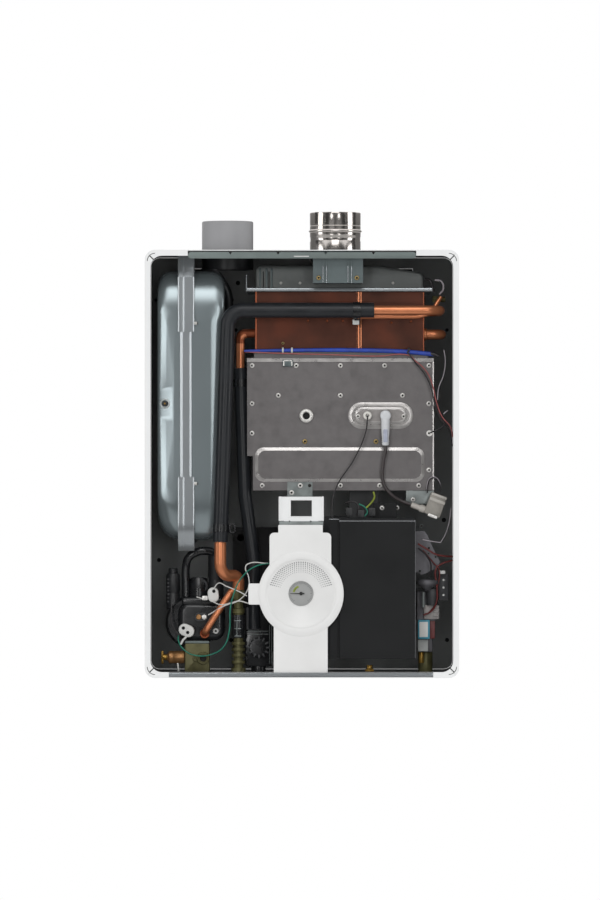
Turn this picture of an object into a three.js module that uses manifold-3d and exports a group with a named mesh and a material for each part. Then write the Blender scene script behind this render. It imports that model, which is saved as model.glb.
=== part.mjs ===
// A wall-hung gas combi boiler with its front cover taken off.
// X runs to the right seen from the open front, Y runs back to the wall and Z runs up, in millimetres.
// The origin is the middle of the flat back that lies on the wall.
import * as THREE from "three";
import { mergeVertices } from "three/addons/utils/BufferGeometryUtils.js";
import Module from "manifold-3d";

const wasm = await Module();
wasm.setup();

// Clearances that every piece shares, and how far a cutter runs past what it cuts.
const gap = 0.3;
const holeSlack = 1;
const overrun = 3;

// How finely round shapes are cut up.
const sides = { corner: 4, small: 8, medium: 16, large: 28, pipe: 12, wire: 8, bend: 4, hexagon: 6 };

// The casing and the grey strips set in the edges of its open front.
const casing = {
  width: 470,
  height: 640,
  depth: 300,
  sheet: 1.2,
  cornerRadius: 15,
  lip: 8.8,
  lipCornerRadius: 17,
};
const strip = { thickness: 1.5, returnDepth: 12 };
const topStrip = { leftRoom: 64.7, rightRoom: 64.4, height: 11.5 };
const notch = { count: 4, pitch: 71.3, width: 5, depth: 4 };
const bottomStrip = { leftRoom: 36.4, rightRoom: 39, height: 6.8 };
const hangSlot = { fromMiddle: 150, fromTop: 22, width: 44, height: 10 };

// The two flue collars on the top.
const flueBeforeMiddle = 5;
const intake = { fromLeftWall: 120.8, radius: 39, wall: 1.6, above: 48.4, below: 24, flange: 6, flangeSheet: 2 };
const exhaust = {
  leftOfMiddle: 5.85,
  radius: 38.8,
  wall: 1.2,
  above: 61.9,
  bead: 1.6,
  beadAt: 33.4,
  beadWidth: 5,
};

// The expansion vessel that stands on edge along the left side.
const vessel = {
  sideRoom: 16.5,
  topRoom: 28,
  rearRoom: 22,
  frontRoom: 48,
  bottomRoom: 203.1,
  thickness: 100.5,
  edgeRound: 24,
  cornerRadius: 58,
  wall: 1.6,
  seamFromLeft: 34.6,
  seamWidth: 17.3,
  seamOut: 3,
};
const pocket = { width: 24, height: 44, depth: 8 };
const valve = {
  fromLeft: 11.4,
  aboveMiddle: 2.95,
  radius: 6.7,
  stemRadius: 4.2,
  base: 3,
  length: 14,
  bore: 2,
};
const strap = { width: 24.8, thickness: 1.5, screwRadius: 4.5, screwHeight: 2.5 };
const upperStrap = { overlap: 92.5, leafDepth: 30, screwFromEnd: 13 };
const lowerStrap = { overlap: 96, drop: 15.6, screwFromEnd: 10 };

// The stack of hood, heat exchanger and combustion chamber to the right of the vessel.
const stack = { pipeRoom: 34.1, flange: 12.1, rightFlange: 14.7, fromFront: 70, depth: 170 };
const hood = {
  topRoom: 19.9,
  height: 39.3,
  flangeSheet: 2.4,
  wall: 3,
  slopeFromRight: 66.7,
  slopeDrop: 11,
  round: 9,
};
const exchanger = {
  height: 90.8,
  wall: 1.5,
  fins: 12,
  finSheet: 1.2,
  finInset: 6,
  seamFromRight: 98,
  seamWidth: 5,
  seamOut: 1,
};
const returnBend = { radius: 7, reach: 27, pitch: 40, above: 27, fromFace: 15, bend: 14 };
const chamber = {
  aboveDoor: 2.3,
  sheet: 2,
  flangeWidth: 12,
  insetLeft: 10.7,
  insetRight: 8.8,
  flangeInset: 1,
};
const door = {
  rightRoom: 35,
  aboveFloor: 278.5,
  belowExchanger: 9,
  fromFront: 60,
  sheet: 1.5,
  topLip: 5.4,
  narrowing: 8.8,
  narrowHeight: 52,
  embossFromLeft: 12.1,
  embossFromRight: 14.3,
  embossUpShares: [0.066066, 0.325325],
  embossOut: 2,
  embossRound: 8,
};
const doorScrew = {
  radius: 4,
  height: 2,
  edge: 7.5,
  topRow: 11.5,
  bottomRow: 7.6,
  bottomInset: 22.8,
  sideAboveMiddle: 31.1,
  sideBelowMiddle: 13.5,
  rightLowFromBottom: 31,
  innerRow: 56.5,
  innerInset: 47.2,
  lowBelowMiddle: 26,
  lowInset: 87.2,
  rowCount: 5,
  innerCount: 3,
};
const burner = { height: 18, wall: 2, slots: 12, slotWidth: 5, slotInset: 33 };
const sightPort = { leftOfMiddle: 51.35, aboveMiddle: 12.7, radius: 10.4, bore: 2.9, length: 5 };
const igniterPlate = {
  rightOfMiddle: 60.65,
  aboveMiddle: 13,
  width: 98,
  height: 40,
  sheet: 2,
  padWidth: 80,
  padHeight: 25.4,
  pad: 3,
};
const flameRod = { fromMiddle: 20.1, radius: 6.6, length: 8, rodRadius: 1.5, reach: 80 };
const electrode = { fromMiddle: 7, radius: 6, length: 7, rodRadius: 1.5, reach: 70 };
const boot = { radius: 8.2, length: 14, stemRadius: 6.5, drop: 45.2, socketDepth: 5 };
const hanger = {
  leftOfMiddle: 2.6,
  width: 74.9,
  bottom: 27.9,
  sheet: 1.5,
  fromFront: 20,
  leafDepth: 30,
  ribWidth: 2,
  ribOut: 2,
};
const hangerRibShares = [0.2, 0.27, 0.7, 0.77];

// The spark generator that hangs under the right end of the chamber.
const sparkBox = {
  fromDoorRight: 2.2,
  below: 21.7,
  width: 25,
  height: 34,
  depth: 34,
  fromFront: 48,
  tilt: 0.35,
};
const sparkNozzle = { radius: 4.2, length: 22, low: 12, forward: 9, socketDepth: 5 };
const sparkBracket = { width: 42, height: 22, sheet: 1.5, depth: 35 };

// The fan under the burner, its motor and its gas supply.
const fan = {
  leftOfMiddle: 8.05,
  aboveFloor: 173.8,
  radius: 66,
  fromFront: 95,
  depth: 55,
  wall: 2,
  inletRadius: 22,
  ductWidth: 44,
};
const impeller = {
  radius: 50,
  hub: 12,
  vanes: 12,
  vaneSheet: 1.6,
  vaneDepth: 34,
  disc: 2,
  endRoom: 3,
  shaft: 4,
  shaftReach: 18,
};
const fanMotor = { radius: 36, length: 48, footWidth: 30, footSheet: 4 };
const mixer = { radius: 32, bore: 19, length: 11 };
const gasPipe = { radius: 5, drop: 70, bend: 14 };
const gasValve = {
  fromRightWall: 30.6,
  aboveFloor: 82.1,
  width: 30.3,
  height: 45.4,
  fromFront: 65,
  depth: 85,
  lowerWidth: 22,
  lowerInset: 3,
  lowerHeight: 48,
  lowerDepth: 40,
};
const sideBracket = { width: 58, height: 90, sheet: 1.5, fromRightWall: 25.8 };

// A threaded socket that ends flush in the floor of the casing.
const socket = { radius: 11, bore: 8.4, boreDepth: 10, height: 12, recess: 0.6 };

// The insulated flow pipe along the top and down in front of the vessel.
const flowPipe = { radius: 7.2, bend: 24, pastCore: 23.9, fromFront: 34, tailRadius: 9.2 };
const flowRoute = {
  belowHood: 29,
  enterExchanger: 50,
  besideVessel: 5.8,
  lean: 5.6,
  pastVessel: 1.3,
  overFitting: 22,
};
const sleeve = { thickness: 3.6, fromCoreRight: 74.3 };

// The return pipe down the left edge of the chamber.
const returnPipe = { radius: 6.6, bend: 16, fromFront: 78 };
const returnRoute = {
  aboveExchangerBottom: 28.5,
  fromDoor: 10.3,
  sleeveBelow: 52.6,
  midOut: 3.3,
  midBelowDoor: 7.7,
  lowDrop: 98,
};
const returnSleeve = { thickness: 3 };

// The water block, pump and valves at the bottom left.
const waterBlock = {
  fromLeftWall: 42.6,
  aboveFloor: 52.3,
  width: 75.3,
  height: 56.7,
  fromFront: 70,
  depth: 44,
};
const pump = {
  fromLeftWall: 67.8,
  aboveFloor: 79.7,
  radius: 40,
  fromFront: 78,
  depth: 57,
  chamberRadius: 24,
  wall: 6,
};
const pumpWheel = {
  radius: 20,
  hub: 7,
  vanes: 6,
  vaneSheet: 2.4,
  vaneDepth: 10,
  disc: 2,
  endRoom: 4,
  shaft: 4,
  shaftReach: 22,
};
const pumpMotor = { radius: 36, length: 68 };
const airVent = {
  fromLeftWall: 39.1,
  aboveFloor: 99.3,
  radius: 10.5,
  height: 62,
  cap: 8,
  capRadius: 7,
  fromFront: 92,
};
const diverter = { fromLeftWall: 103.8, radius: 11.8, height: 74, fromFront: 90, flange: 15, flangeSheet: 4 };
const plunger = {
  radius: 5,
  length: 30,
  travel: 7,
  endRoom: 1,
  stem: 2.4,
  stemLength: 24,
  boreDepth: 45,
};
const brassBlock = { fromLeftWall: 57.1, width: 37.6, aboveFloor: 4.8, fromFront: 65, depth: 40 };
const brassRing = { radius: 9.6, out: 6, fromLeft: 28.1, aboveFloor: 26, bore: 5 };
const drain = { radius: 9.5, length: 26, aboveFloor: 27.1, fromFront: 75 };
const drainHandle = {
  hub: 4.6,
  hubLength: 7,
  barLength: 20,
  barWidth: 7,
  barSheet: 4,
  spindle: 3,
  spindleReach: 6,
};
const bypass = { radius: 5.4, bend: 12, fromFront: 52, belowNut: 8, out: 11, endFromRight: 30, endAbove: 11 };
const flowFitting = {
  fromLeftWall: 138.3,
  aboveFloor: 128.8,
  fromFront: 60,
  radius: 7.4,
  nutRadius: 10.5,
  nutHeight: 14,
};
const flowSensor = {
  fromLeftWall: 147.9,
  width: 40.8,
  aboveFloor: 13.2,
  height: 56.6,
  fromFront: 68,
  depth: 32,
};
const plateStack = {
  fromLeftWall: 128,
  aboveFloor: 30,
  width: 80,
  height: 190,
  depth: 70,
  plates: 7,
  groove: 3,
  wall: 3,
  port: 9,
  portBore: 6,
  portOut: 9,
};

// The control box at the bottom middle.
const controlBox = {
  fromRightWall: 63.9,
  aboveFloor: 27,
  width: 130.2,
  height: 210.5,
  fromFront: 12,
  depth: 43,
  wall: 2,
  channelWidth: 16.3,
};
const lid = { sheet: 2, rim: 5, rimSheet: 1.5, belowTop: 3.2 };
const board = { margin: 8, sheet: 1.6, postRadius: 3, postHeight: 10, parts: 5, partHeight: 9 };
const boxTab = { fromLeft: 67, width: 36, height: 22, sheet: 1.5 };

// The pressure gauge in its white cover, and the brackets above it.
const cover = {
  leftOfBox: 41,
  aboveFloor: 124.5,
  radius: 63.8,
  sheet: 2,
  plateLeft: 47.1,
  plateRight: 45.2,
  plateTop: 91.6,
  plateRound: 9,
  footLeft: 40.8,
  footRight: 39.9,
  tuck: 2.4,
  tabOut: 78.7,
  tabTop: 15.6,
  tabBottom: 16.1,
  ridgeRadius: 52.3,
  ridgeWidth: 3,
  ridgeOut: 0.9,
  coneDepth: 13,
};
const neck = { left: 34, right: 32.6, height: 11.6 };
const gauge = { radius: 21, dialRadius: 19.4, length: 22, recess: 5 };
const pointer = {
  length: 16,
  tail: 5,
  width: 1.6,
  sheet: 0.8,
  hub: 2.6,
  hubHeight: 1.8,
  pin: 0.9,
  pinReach: 3,
};
const coverBracket = {
  left: 33.4,
  right: 34.1,
  above: 145.1,
  sheet: 1.5,
  windowLeft: 15.3,
  windowRight: 16.2,
  windowAbove: 116,
  windowHeight: 23.8,
  neckRoom: 6,
  tongueInset: 8,
};
const zincBracket = { left: 20.6, right: 17.3, sheet: 1.5, low: 10.3 };
const zincScrewShares = [[0.58, 0.74], [0.22, 0.28]];

// Wires. Their routes are lists of points chosen by hand, with a straight lead at each fixed end.
const wire = { thick: 2.6, thin: 1.1, sleeve: 3.7 };
const wireLead = {
  boot: 8,
  spark: 5,
  sparkBend: 14,
  rod: 3,
  rodBend: 5,
  rodDrop: 9,
  boxOut: 34,
  boxUp: 119.5,
  bracket: 21.2,
  bracketUp: 61.3,
};
const wireRings = { ignition: 26, flameRod: 28, loom: 16, sensor: 48, gasValve: 26 };

// Planes and centres that pieces are set from.
const frontPlane = -casing.depth;
const inside = {
  left: casing.sheet - casing.width / 2,
  right: casing.width / 2 - casing.sheet,
  top: casing.height / 2 - casing.sheet,
  floor: casing.sheet - casing.height / 2,
  back: -casing.sheet,
};
const lipBack = frontPlane + casing.sheet;
const vesselX = span(inside.left + vessel.sideRoom, vessel.thickness);
const doorX = [vesselX[1] + stack.pipeRoom, inside.right - door.rightRoom];
const coreX = [doorX[0] + stack.flange, doorX[1] - stack.rightFlange];
const coreMiddleX = (coreX[0] + coreX[1]) / 2;
const stackY = span(frontPlane + stack.fromFront, stack.depth);
const flueY = (stackY[0] + stackY[1]) / 2 - flueBeforeMiddle;
const intakePlace = { x: inside.left + intake.fromLeftWall, y: flueY };
const exhaustPlace = { x: coreMiddleX - exhaust.leftOfMiddle, y: flueY };
const boxRight = inside.right - controlBox.fromRightWall;
const boxX = [boxRight - controlBox.width, boxRight];
const coverX = boxX[0] - cover.leftOfBox;

// Paints, metals and plastics.
function surface(color, roughness, metalness) {
  return new THREE.MeshStandardMaterial({ color, roughness, metalness });
}
const finish = {
  casePaint: surface(0xf2f2f1, 0.45, 0),
  greyTrim: surface(0x737c7e, 0.45, 0.5),
  greyCollar: surface(0x98989c, 0.5, 0),
  stainless: surface(0xc9c5c1, 0.2, 1),
  greyHood: surface(0x5a5b5a, 0.5, 0.6),
  steelPlate: surface(0x6b6868, 0.45, 0.7),
  galvanised: surface(0x9aa2a4, 0.35, 0.8),
  brownCopper: surface(0x6b3a24, 0.4, 0.9),
  brightCopper: surface(0xd98858, 0.25, 1),
  brass: surface(0xa68a4c, 0.35, 0.9),
  blackFoam: surface(0x26272a, 0.7, 0),
  blackPlastic: surface(0x1e1f21, 0.5, 0),
  boxPaint: surface(0x2a2a2c, 0.5, 0),
  whitePlastic: surface(0xe6e6e4, 0.45, 0),
  whitePaint: surface(0xe9e9e8, 0.4, 0),
  ceramic: surface(0xe4e2dc, 0.5, 0),
  silicone: surface(0xd9dcde, 0.4, 0),
  beigePlastic: surface(0x8f8b84, 0.6, 0),
  castAluminium: surface(0x8d8a88, 0.5, 0.7),
  dialFace: surface(0xb9bab8, 0.5, 0),
  needleBlack: surface(0x141414, 0.5, 0),
  boardGreen: surface(0x2f6b45, 0.6, 0),
  blueSleeve: surface(0x23409a, 0.5, 0),
  redWire: surface(0x6d2320, 0.5, 0),
  greenWire: surface(0x1f7a58, 0.5, 0),
  blackWire: surface(0x1c1c1d, 0.5, 0),
};

// A closed geometry as a solid that can be joined and cut, with its faces pointing out.
function solid(geometry) {
  geometry.deleteAttribute("normal");
  geometry.deleteAttribute("uv");
  const merged = mergeVertices(geometry);
  const mesh = {
    numProp: merged.attributes.position.itemSize,
    vertProperties: new Float32Array(merged.attributes.position.array),
    triVerts: new Uint32Array(merged.index.array),
  };
  const body = new wasm.Manifold(new wasm.Mesh(mesh));
  if (body.volume() > 0) return body;
  return new wasm.Manifold(new wasm.Mesh({ ...mesh, triVerts: mesh.triVerts.reverse() }));
}

// A named mesh made of one solid, added to the boiler and handed back for turning or moving.
const boiler = new THREE.Group();
function place(name, body, material) {
  const { vertProperties, triVerts, numProp } = body.getMesh();
  const geometry = new THREE.BufferGeometry()
    .setAttribute("position", new THREE.BufferAttribute(vertProperties, numProp))
    .setIndex(new THREE.BufferAttribute(triVerts, 1));
  const mesh = new THREE.Mesh(geometry, material);
  mesh.name = name;
  boiler.add(mesh);
  return mesh;
}

function join(first, ...others) {
  return others.reduce((sum, next) => sum.add(next), first);
}

function cut(first, ...others) {
  return others.reduce((rest, next) => rest.subtract(next), first);
}

// A length from its start, and a length about its middle.
function span(start, length) {
  return [start, start + length];
}
function about(middle, length) {
  return [middle - length / 2, middle + length / 2];
}

// A list of counted things.
function each(count, make) {
  return Array.from({ length: count }, (_, i) => make(i));
}

// Places that share a length evenly, from its start to its end.
function evenly([from, to], count) {
  return each(count, (i) => from + ((to - from) * i) / (count - 1));
}

// A block between its low and high sides.
function block([x0, x1], [y0, y1], [z0, z1]) {
  const box = new THREE.BoxGeometry(x1 - x0, y1 - y0, z1 - z0);
  box.translate((x0 + x1) / 2, (y0 + y1) / 2, (z0 + z1) / 2);
  return solid(box);
}

// Round bars along each axis, from one end to the other.
function barAlongX({ y, z }, [from, to], radius, count = sides.medium) {
  const bar = new THREE.CylinderGeometry(radius, radius, to - from, count);
  bar.rotateZ(-Math.PI / 2);
  bar.translate((from + to) / 2, y, z);
  return solid(bar);
}
function barAlongY({ x, z }, [from, to], radius, count = sides.medium) {
  const bar = new THREE.CylinderGeometry(radius, radius, to - from, count);
  bar.translate(x, (from + to) / 2, z);
  return solid(bar);
}
function barAlongZ({ x, y }, [from, to], radius, count = sides.medium) {
  const bar = new THREE.CylinderGeometry(radius, radius, to - from, count);
  bar.rotateX(Math.PI / 2);
  bar.translate(x, y, (from + to) / 2);
  return solid(bar);
}

// A flat outline with round corners.
function roundedOutline([a0, a1], [b0, b1], radius) {
  const outline = new THREE.Shape();
  outline.absarc(a1 - radius, b0 + radius, radius, -Math.PI / 2, 0);
  outline.absarc(a1 - radius, b1 - radius, radius, 0, Math.PI / 2);
  outline.absarc(a0 + radius, b1 - radius, radius, Math.PI / 2, Math.PI);
  outline.absarc(a0 + radius, b0 + radius, radius, Math.PI, 1.5 * Math.PI);
  return outline;
}

// A flat outline through corner points.
function outlineThrough(points) {
  return new THREE.Shape(points.map(([a, b]) => new THREE.Vector2(a, b)));
}

// A sheet whose outline (X, Z) faces the front, from its front face to its rear face.
function frontSheet(outline, [y0, y1], curveSegments = sides.corner) {
  const sheet = new THREE.ExtrudeGeometry(outline, { depth: y1 - y0, bevelEnabled: false, curveSegments });
  sheet.rotateX(Math.PI / 2);
  sheet.translate(0, y1, 0);
  return solid(sheet);
}

// A sheet whose outline (Y, Z) is seen from the right, from its left face on.
const sideways = new THREE.Matrix4().makeBasis(
  new THREE.Vector3(0, 1, 0),
  new THREE.Vector3(0, 0, 1),
  new THREE.Vector3(1, 0, 0),
);
function sideSheet(outline, [x0, x1], edge = { bevelEnabled: false }) {
  const sheet = new THREE.ExtrudeGeometry(outline, { depth: x1 - x0, curveSegments: sides.corner, ...edge });
  sheet.applyMatrix4(sideways);
  sheet.translate(x0, 0, 0);
  return solid(sheet);
}

// A shape turned about an upright axis. The profile holds radius and height.
function turnedUpright({ x, y }, profile, count = sides.large) {
  const turned = new THREE.LatheGeometry(profile.map(([r, z]) => new THREE.Vector2(r, z)), count);
  turned.rotateX(Math.PI / 2);
  turned.translate(x, y, 0);
  return solid(turned);
}

// A shape turned about an axis that runs back. The profile holds radius and place along Y.
function turnedAlongY({ x, z }, profile, count = sides.large) {
  const turned = new THREE.LatheGeometry(profile.map(([r, y]) => new THREE.Vector2(r, y)), count);
  turned.translate(x, 0, z);
  return solid(turned);
}

// The middle line of a bent pipe: straight runs joined by round bends, with rings only where it turns.
class PipeLine extends THREE.Curve {
  constructor(points, bend) {
    super();
    const corners = points.map((p) => new THREE.Vector3(...p));
    const first = corners[0];
    const last = corners.at(-1);
    this.rings = [{ point: first, tangent: corners[1].clone().sub(first).normalize() }];
    for (let i = 1; i < corners.length - 1; i++) {
      this.addBend(corners[i - 1], corners[i], corners[i + 1], bend);
    }
    this.rings.push({ point: last, tangent: last.clone().sub(corners.at(-2)).normalize() });
  }

  addBend(before, corner, after, bend) {
    const arrive = corner.clone().sub(before);
    const leave = after.clone().sub(corner);
    const room = Math.min(arrive.length(), leave.length()) / 2;
    arrive.normalize();
    leave.normalize();
    const turn = arrive.angleTo(leave);
    const radius = Math.min(bend, room / Math.tan(turn / 2));
    const inward = leave.clone().addScaledVector(arrive, -Math.cos(turn)).normalize();
    const start = corner.clone().addScaledVector(arrive, -radius * Math.tan(turn / 2));
    const steps = Math.max(1, Math.round((sides.bend * turn) / (Math.PI / 2)));
    for (let i = 0; i <= steps; i++) {
      const angle = (turn * i) / steps;
      const point = start
        .clone()
        .addScaledVector(arrive, radius * Math.sin(angle))
        .addScaledVector(inward, radius * (1 - Math.cos(angle)));
      const tangent = arrive.clone().multiplyScalar(Math.cos(angle)).addScaledVector(inward, Math.sin(angle));
      this.rings.push({ point, tangent });
    }
  }

  get steps() {
    return this.rings.length - 1;
  }

  getPointAt(u) {
    return this.rings[Math.round(u * this.steps)].point.clone();
  }

  getTangentAt(u) {
    return this.rings[Math.round(u * this.steps)].tangent.clone();
  }
}

// A ring of points for the section of a pipe or wire.
function ringPoints(radius, count) {
  return each(count, (i) => {
    const turn = (2 * Math.PI * i) / count;
    return new THREE.Vector2(radius * Math.cos(turn), radius * Math.sin(turn));
  });
}

// A pipe along its line, solid or with a bore.
function pipe(line, radius, bore = 0) {
  const section = new THREE.Shape(ringPoints(radius, sides.pipe));
  if (bore > 0) section.holes.push(new THREE.Path(ringPoints(bore, sides.pipe).reverse()));
  return solid(
    new THREE.ExtrudeGeometry(section, { steps: line.steps, extrudePath: line, bevelEnabled: false }),
  );
}

// The least radius of a many-sided bore that clears a round of the given radius.
function clearBore(radius) {
  return (radius + gap) / Math.cos(Math.PI / sides.pipe);
}

// A wire through hand-placed points, with a ring every few diameters.
function wireThrough(points, radius, steps) {
  const route = new THREE.CatmullRomCurve3(points.map((p) => new THREE.Vector3(...p)), false, "centripetal");
  const section = new THREE.Shape(ringPoints(radius, sides.wire));
  return solid(new THREE.ExtrudeGeometry(section, { steps, extrudePath: route, bevelEnabled: false }));
}

// A round screw head on a front face.
function frontScrew(x, z, face, { radius, height }) {
  return barAlongY({ x, z }, [face - height, face + height / 2], radius, sides.small);
}

// A flat outline with half-round ends.
function stadium([a0, a1], [b0, b1]) {
  const radius = (b1 - b0) / 2;
  const outline = new THREE.Shape();
  outline.absarc(a1 - radius, b0 + radius, radius, -Math.PI / 2, Math.PI / 2);
  outline.absarc(a0 + radius, b0 + radius, radius, Math.PI / 2, 1.5 * Math.PI);
  return outline;
}

// A span made wider or narrower at both ends.
function grown([from, to], by) {
  return [from - by, to + by];
}

// Casing sheets, mitred at the corners, with a lip turned in round the open front.
const casingX = about(0, casing.width);
const casingZ = about(0, casing.height);
const insideX = [inside.left, inside.right];
const insideZ = [inside.floor, inside.top];
const innerRadius = casing.cornerRadius - casing.sheet;
const lipHole = roundedOutline(
  grown(casingX, -casing.lip),
  grown(casingZ, -casing.lip),
  casing.lipCornerRadius,
);
const shell = cut(
  frontSheet(roundedOutline(casingX, casingZ, casing.cornerRadius), [frontPlane, 0]),
  frontSheet(roundedOutline(insideX, insideZ, innerRadius), [lipBack, overrun]),
  frontSheet(lipHole, [frontPlane - overrun, lipBack + overrun]),
);
const mitre = gap * Math.SQRT2;
const far = { x: casing.width / 2 + overrun, z: casing.height / 2 + overrun };
const meet = casing.height / 2 - casing.width / 2;
const throughY = [frontPlane - overrun, overrun];
const leftPart = outlineThrough([
  [-far.x, mitre - far.z],
  [0, mitre - meet],
  [0, meet - mitre],
  [-far.x, far.z - mitre],
]);
const rightPart = outlineThrough([
  [far.x, mitre - far.z],
  [far.x, far.z - mitre],
  [0, meet - mitre],
  [0, mitre - meet],
]);
const topPart = outlineThrough([[-far.x, far.z], [0, meet], [far.x, far.z]]);
const bottomPart = outlineThrough([[-far.x, -far.z], [far.x, -far.z], [0, -meet]]);
place("left_side", shell.intersect(frontSheet(leftPart, throughY)), finish.casePaint);
place("right_side", shell.intersect(frontSheet(rightPart, throughY)), finish.casePaint);

const backOutline = roundedOutline(grown(insideX, -gap), grown(insideZ, -gap), innerRadius - gap);
const hangSlots = [-hangSlot.fromMiddle, hangSlot.fromMiddle].map((x) =>
  block(about(x, hangSlot.width), throughY, about(inside.top - hangSlot.fromTop, hangSlot.height)),
);
place("back_panel", cut(frontSheet(backOutline, [inside.back, 0]), ...hangSlots), finish.casePaint);

// Top sheet with its two flue holes, and the grey strip in its front edge.
const topStripX = [casingX[0] + topStrip.leftRoom, casingX[1] - topStrip.rightRoom];
const topStripZ = [inside.top - gap - topStrip.height, inside.top - gap];
const lipCutY = [frontPlane - overrun, lipBack + gap];
const throughTop = [inside.top - overrun, casingZ[1] + overrun];
const flueHoles = [
  barAlongZ(intakePlace, throughTop, intake.radius + holeSlack, sides.large),
  barAlongZ(exhaustPlace, throughTop, exhaust.radius + holeSlack, sides.large),
];
place(
  "top_panel",
  cut(
    shell.intersect(frontSheet(topPart, throughY)),
    block(grown(topStripX, gap), lipCutY, [topStripZ[0] - gap - overrun, inside.top]),
    ...flueHoles,
  ),
  finish.casePaint,
);
const notches = each(notch.count, (i) => {
  const x = (i - (notch.count - 1) / 2) * notch.pitch;
  const vee = [[x - notch.width / 2, topStripZ[1] + gap], [x, topStripZ[1] - notch.depth]];
  vee.push([x + notch.width / 2, topStripZ[1] + gap]);
  return frontSheet(outlineThrough(vee), [frontPlane - overrun, frontPlane + strip.thickness + gap]);
});
place(
  "top_strip",
  cut(
    join(
      block(topStripX, span(frontPlane, strip.thickness), topStripZ),
      block(
        topStripX,
        span(frontPlane, strip.returnDepth),
        span(topStripZ[1] - strip.thickness, strip.thickness),
      ),
    ),
    ...notches,
  ),
  finish.greyTrim,
);

// Flue collars: a plain grey one for air and a beaded steel one for flue gas.
const collarTopFace = casingZ[1] + gap;
const intakeRim = intake.radius - intake.wall;
const intakeLow = inside.top - intake.below;
const intakeTop = casingZ[1] + intake.above;
place(
  "air_intake_collar",
  turnedUpright(intakePlace, [
    [intake.radius, intakeLow],
    [intake.radius, collarTopFace],
    [intake.radius + intake.flange, collarTopFace],
    [intake.radius + intake.flange, collarTopFace + intake.flangeSheet],
    [intake.radius, collarTopFace + intake.flangeSheet],
    [intake.radius, intakeTop - intake.wall],
    [intakeRim + intake.wall / 2, intakeTop],
    [intakeRim, intakeTop],
    [intakeRim, intakeLow],
    [intake.radius, intakeLow],
  ]),
  finish.greyCollar,
);
const hoodTop = inside.top - hood.topRoom;
const exhaustBore = exhaust.radius - exhaust.wall;
const exhaustTop = casingZ[1] + exhaust.above;
const beadMiddle = casingZ[1] + exhaust.beadAt;
const beadEdge = exhaust.beadWidth / 2;
const beadSlope = exhaust.bead / 2;
place(
  "exhaust_collar",
  turnedUpright(exhaustPlace, [
    [exhaust.radius, hoodTop + gap],
    [exhaust.radius, beadMiddle - beadEdge],
    [exhaust.radius + exhaust.bead, beadMiddle - beadEdge + beadSlope],
    [exhaust.radius + exhaust.bead, beadMiddle + beadEdge - beadSlope],
    [exhaust.radius, beadMiddle + beadEdge],
    [exhaust.radius, exhaustTop],
    [exhaustBore, exhaustTop],
    [exhaustBore, hoodTop + gap],
    [exhaust.radius, hoodTop + gap],
  ]),
  finish.stainless,
);

// Expansion vessel: a hollow pressed shell on edge, with its seam band and a pocket for the air valve.
const vesselZ = [inside.floor + vessel.bottomRoom, inside.top - vessel.topRoom];
const vesselY = [frontPlane + vessel.frontRoom, -vessel.rearRoom];
const seamX = span(vesselX[0] + vessel.seamFromLeft, vessel.seamWidth);
const seamMiddle = (seamX[0] + seamX[1]) / 2;
const valvePlace = { x: vesselX[0] + valve.fromLeft, z: (vesselZ[0] + vesselZ[1]) / 2 + valve.aboveMiddle };
function vesselShell(inset) {
  const round = vessel.edgeRound - inset;
  const outline = roundedOutline(grown(vesselY, -inset), grown(vesselZ, -inset), vessel.cornerRadius - inset);
  return sideSheet(outline, grown(vesselX, -vessel.edgeRound), {
    bevelSize: round,
    bevelThickness: round,
    bevelOffset: -round,
    bevelSegments: sides.corner,
  });
}
function pocketBlock(wall) {
  return block(
    [vesselX[0] - overrun, vesselX[0] + pocket.width + wall],
    [vesselY[0] - overrun, vesselY[0] + pocket.depth + wall],
    about(valvePlace.z, pocket.height + wall + wall),
  );
}
const seamOutline = roundedOutline(
  grown(vesselY, vessel.seamOut),
  grown(vesselZ, vessel.seamOut),
  vessel.cornerRadius + vessel.seamOut,
);
const pocketFloor = vesselY[0] + pocket.depth;
const vesselHollow = cut(vesselShell(vessel.wall), pocketBlock(vessel.wall));
const valveHole = barAlongY(
  valvePlace,
  grown(span(pocketFloor, vessel.wall), overrun),
  valve.bore,
  sides.small,
);
place(
  "expansion_vessel",
  cut(join(vesselShell(0), sideSheet(seamOutline, seamX)), pocketBlock(0), vesselHollow, valveHole),
  finish.galvanised,
);
const valveBack = pocketFloor - gap;
place(
  "vessel_air_valve",
  turnedAlongY(
    valvePlace,
    [
      [0, valveBack],
      [valve.radius, valveBack],
      [valve.radius, valveBack - valve.base],
      [valve.stemRadius, valveBack - valve.base],
      [valve.stemRadius, valveBack - valve.length],
      [0, valveBack - valve.length],
    ],
    sides.medium,
  ),
  finish.brass,
);

// Straps that hold the vessel by its seam band.
const strapX = about(seamMiddle, strap.width);
const strapFront = vesselY[0] - vessel.seamOut - gap - strap.thickness;
const strapY = span(strapFront, strap.thickness);
const upperStrapZ = [vesselZ[1] - upperStrap.overlap, inside.top - gap];
const strapScrew = { radius: strap.screwRadius, height: strap.screwHeight };
place(
  "upper_strap",
  join(
    block(strapX, strapY, upperStrapZ),
    block(
      strapX,
      span(strapFront, upperStrap.leafDepth),
      span(upperStrapZ[1] - strap.thickness, strap.thickness),
    ),
    frontScrew(seamMiddle, upperStrapZ[0] + upperStrap.screwFromEnd, strapFront, strapScrew),
  ),
  finish.galvanised,
);
const lowerStrapZ = [vesselZ[0] - lowerStrap.drop, vesselZ[0] + lowerStrap.overlap];
const shelfTop = vesselZ[0] - vessel.seamOut - gap;
place(
  "lower_strap",
  join(
    block(strapX, strapY, lowerStrapZ),
    block(strapX, [strapFront, inside.back - gap], [shelfTop - strap.thickness, shelfTop]),
    frontScrew(seamMiddle, lowerStrapZ[1] - lowerStrap.screwFromEnd, strapFront, strapScrew),
  ),
  finish.galvanised,
);

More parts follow.
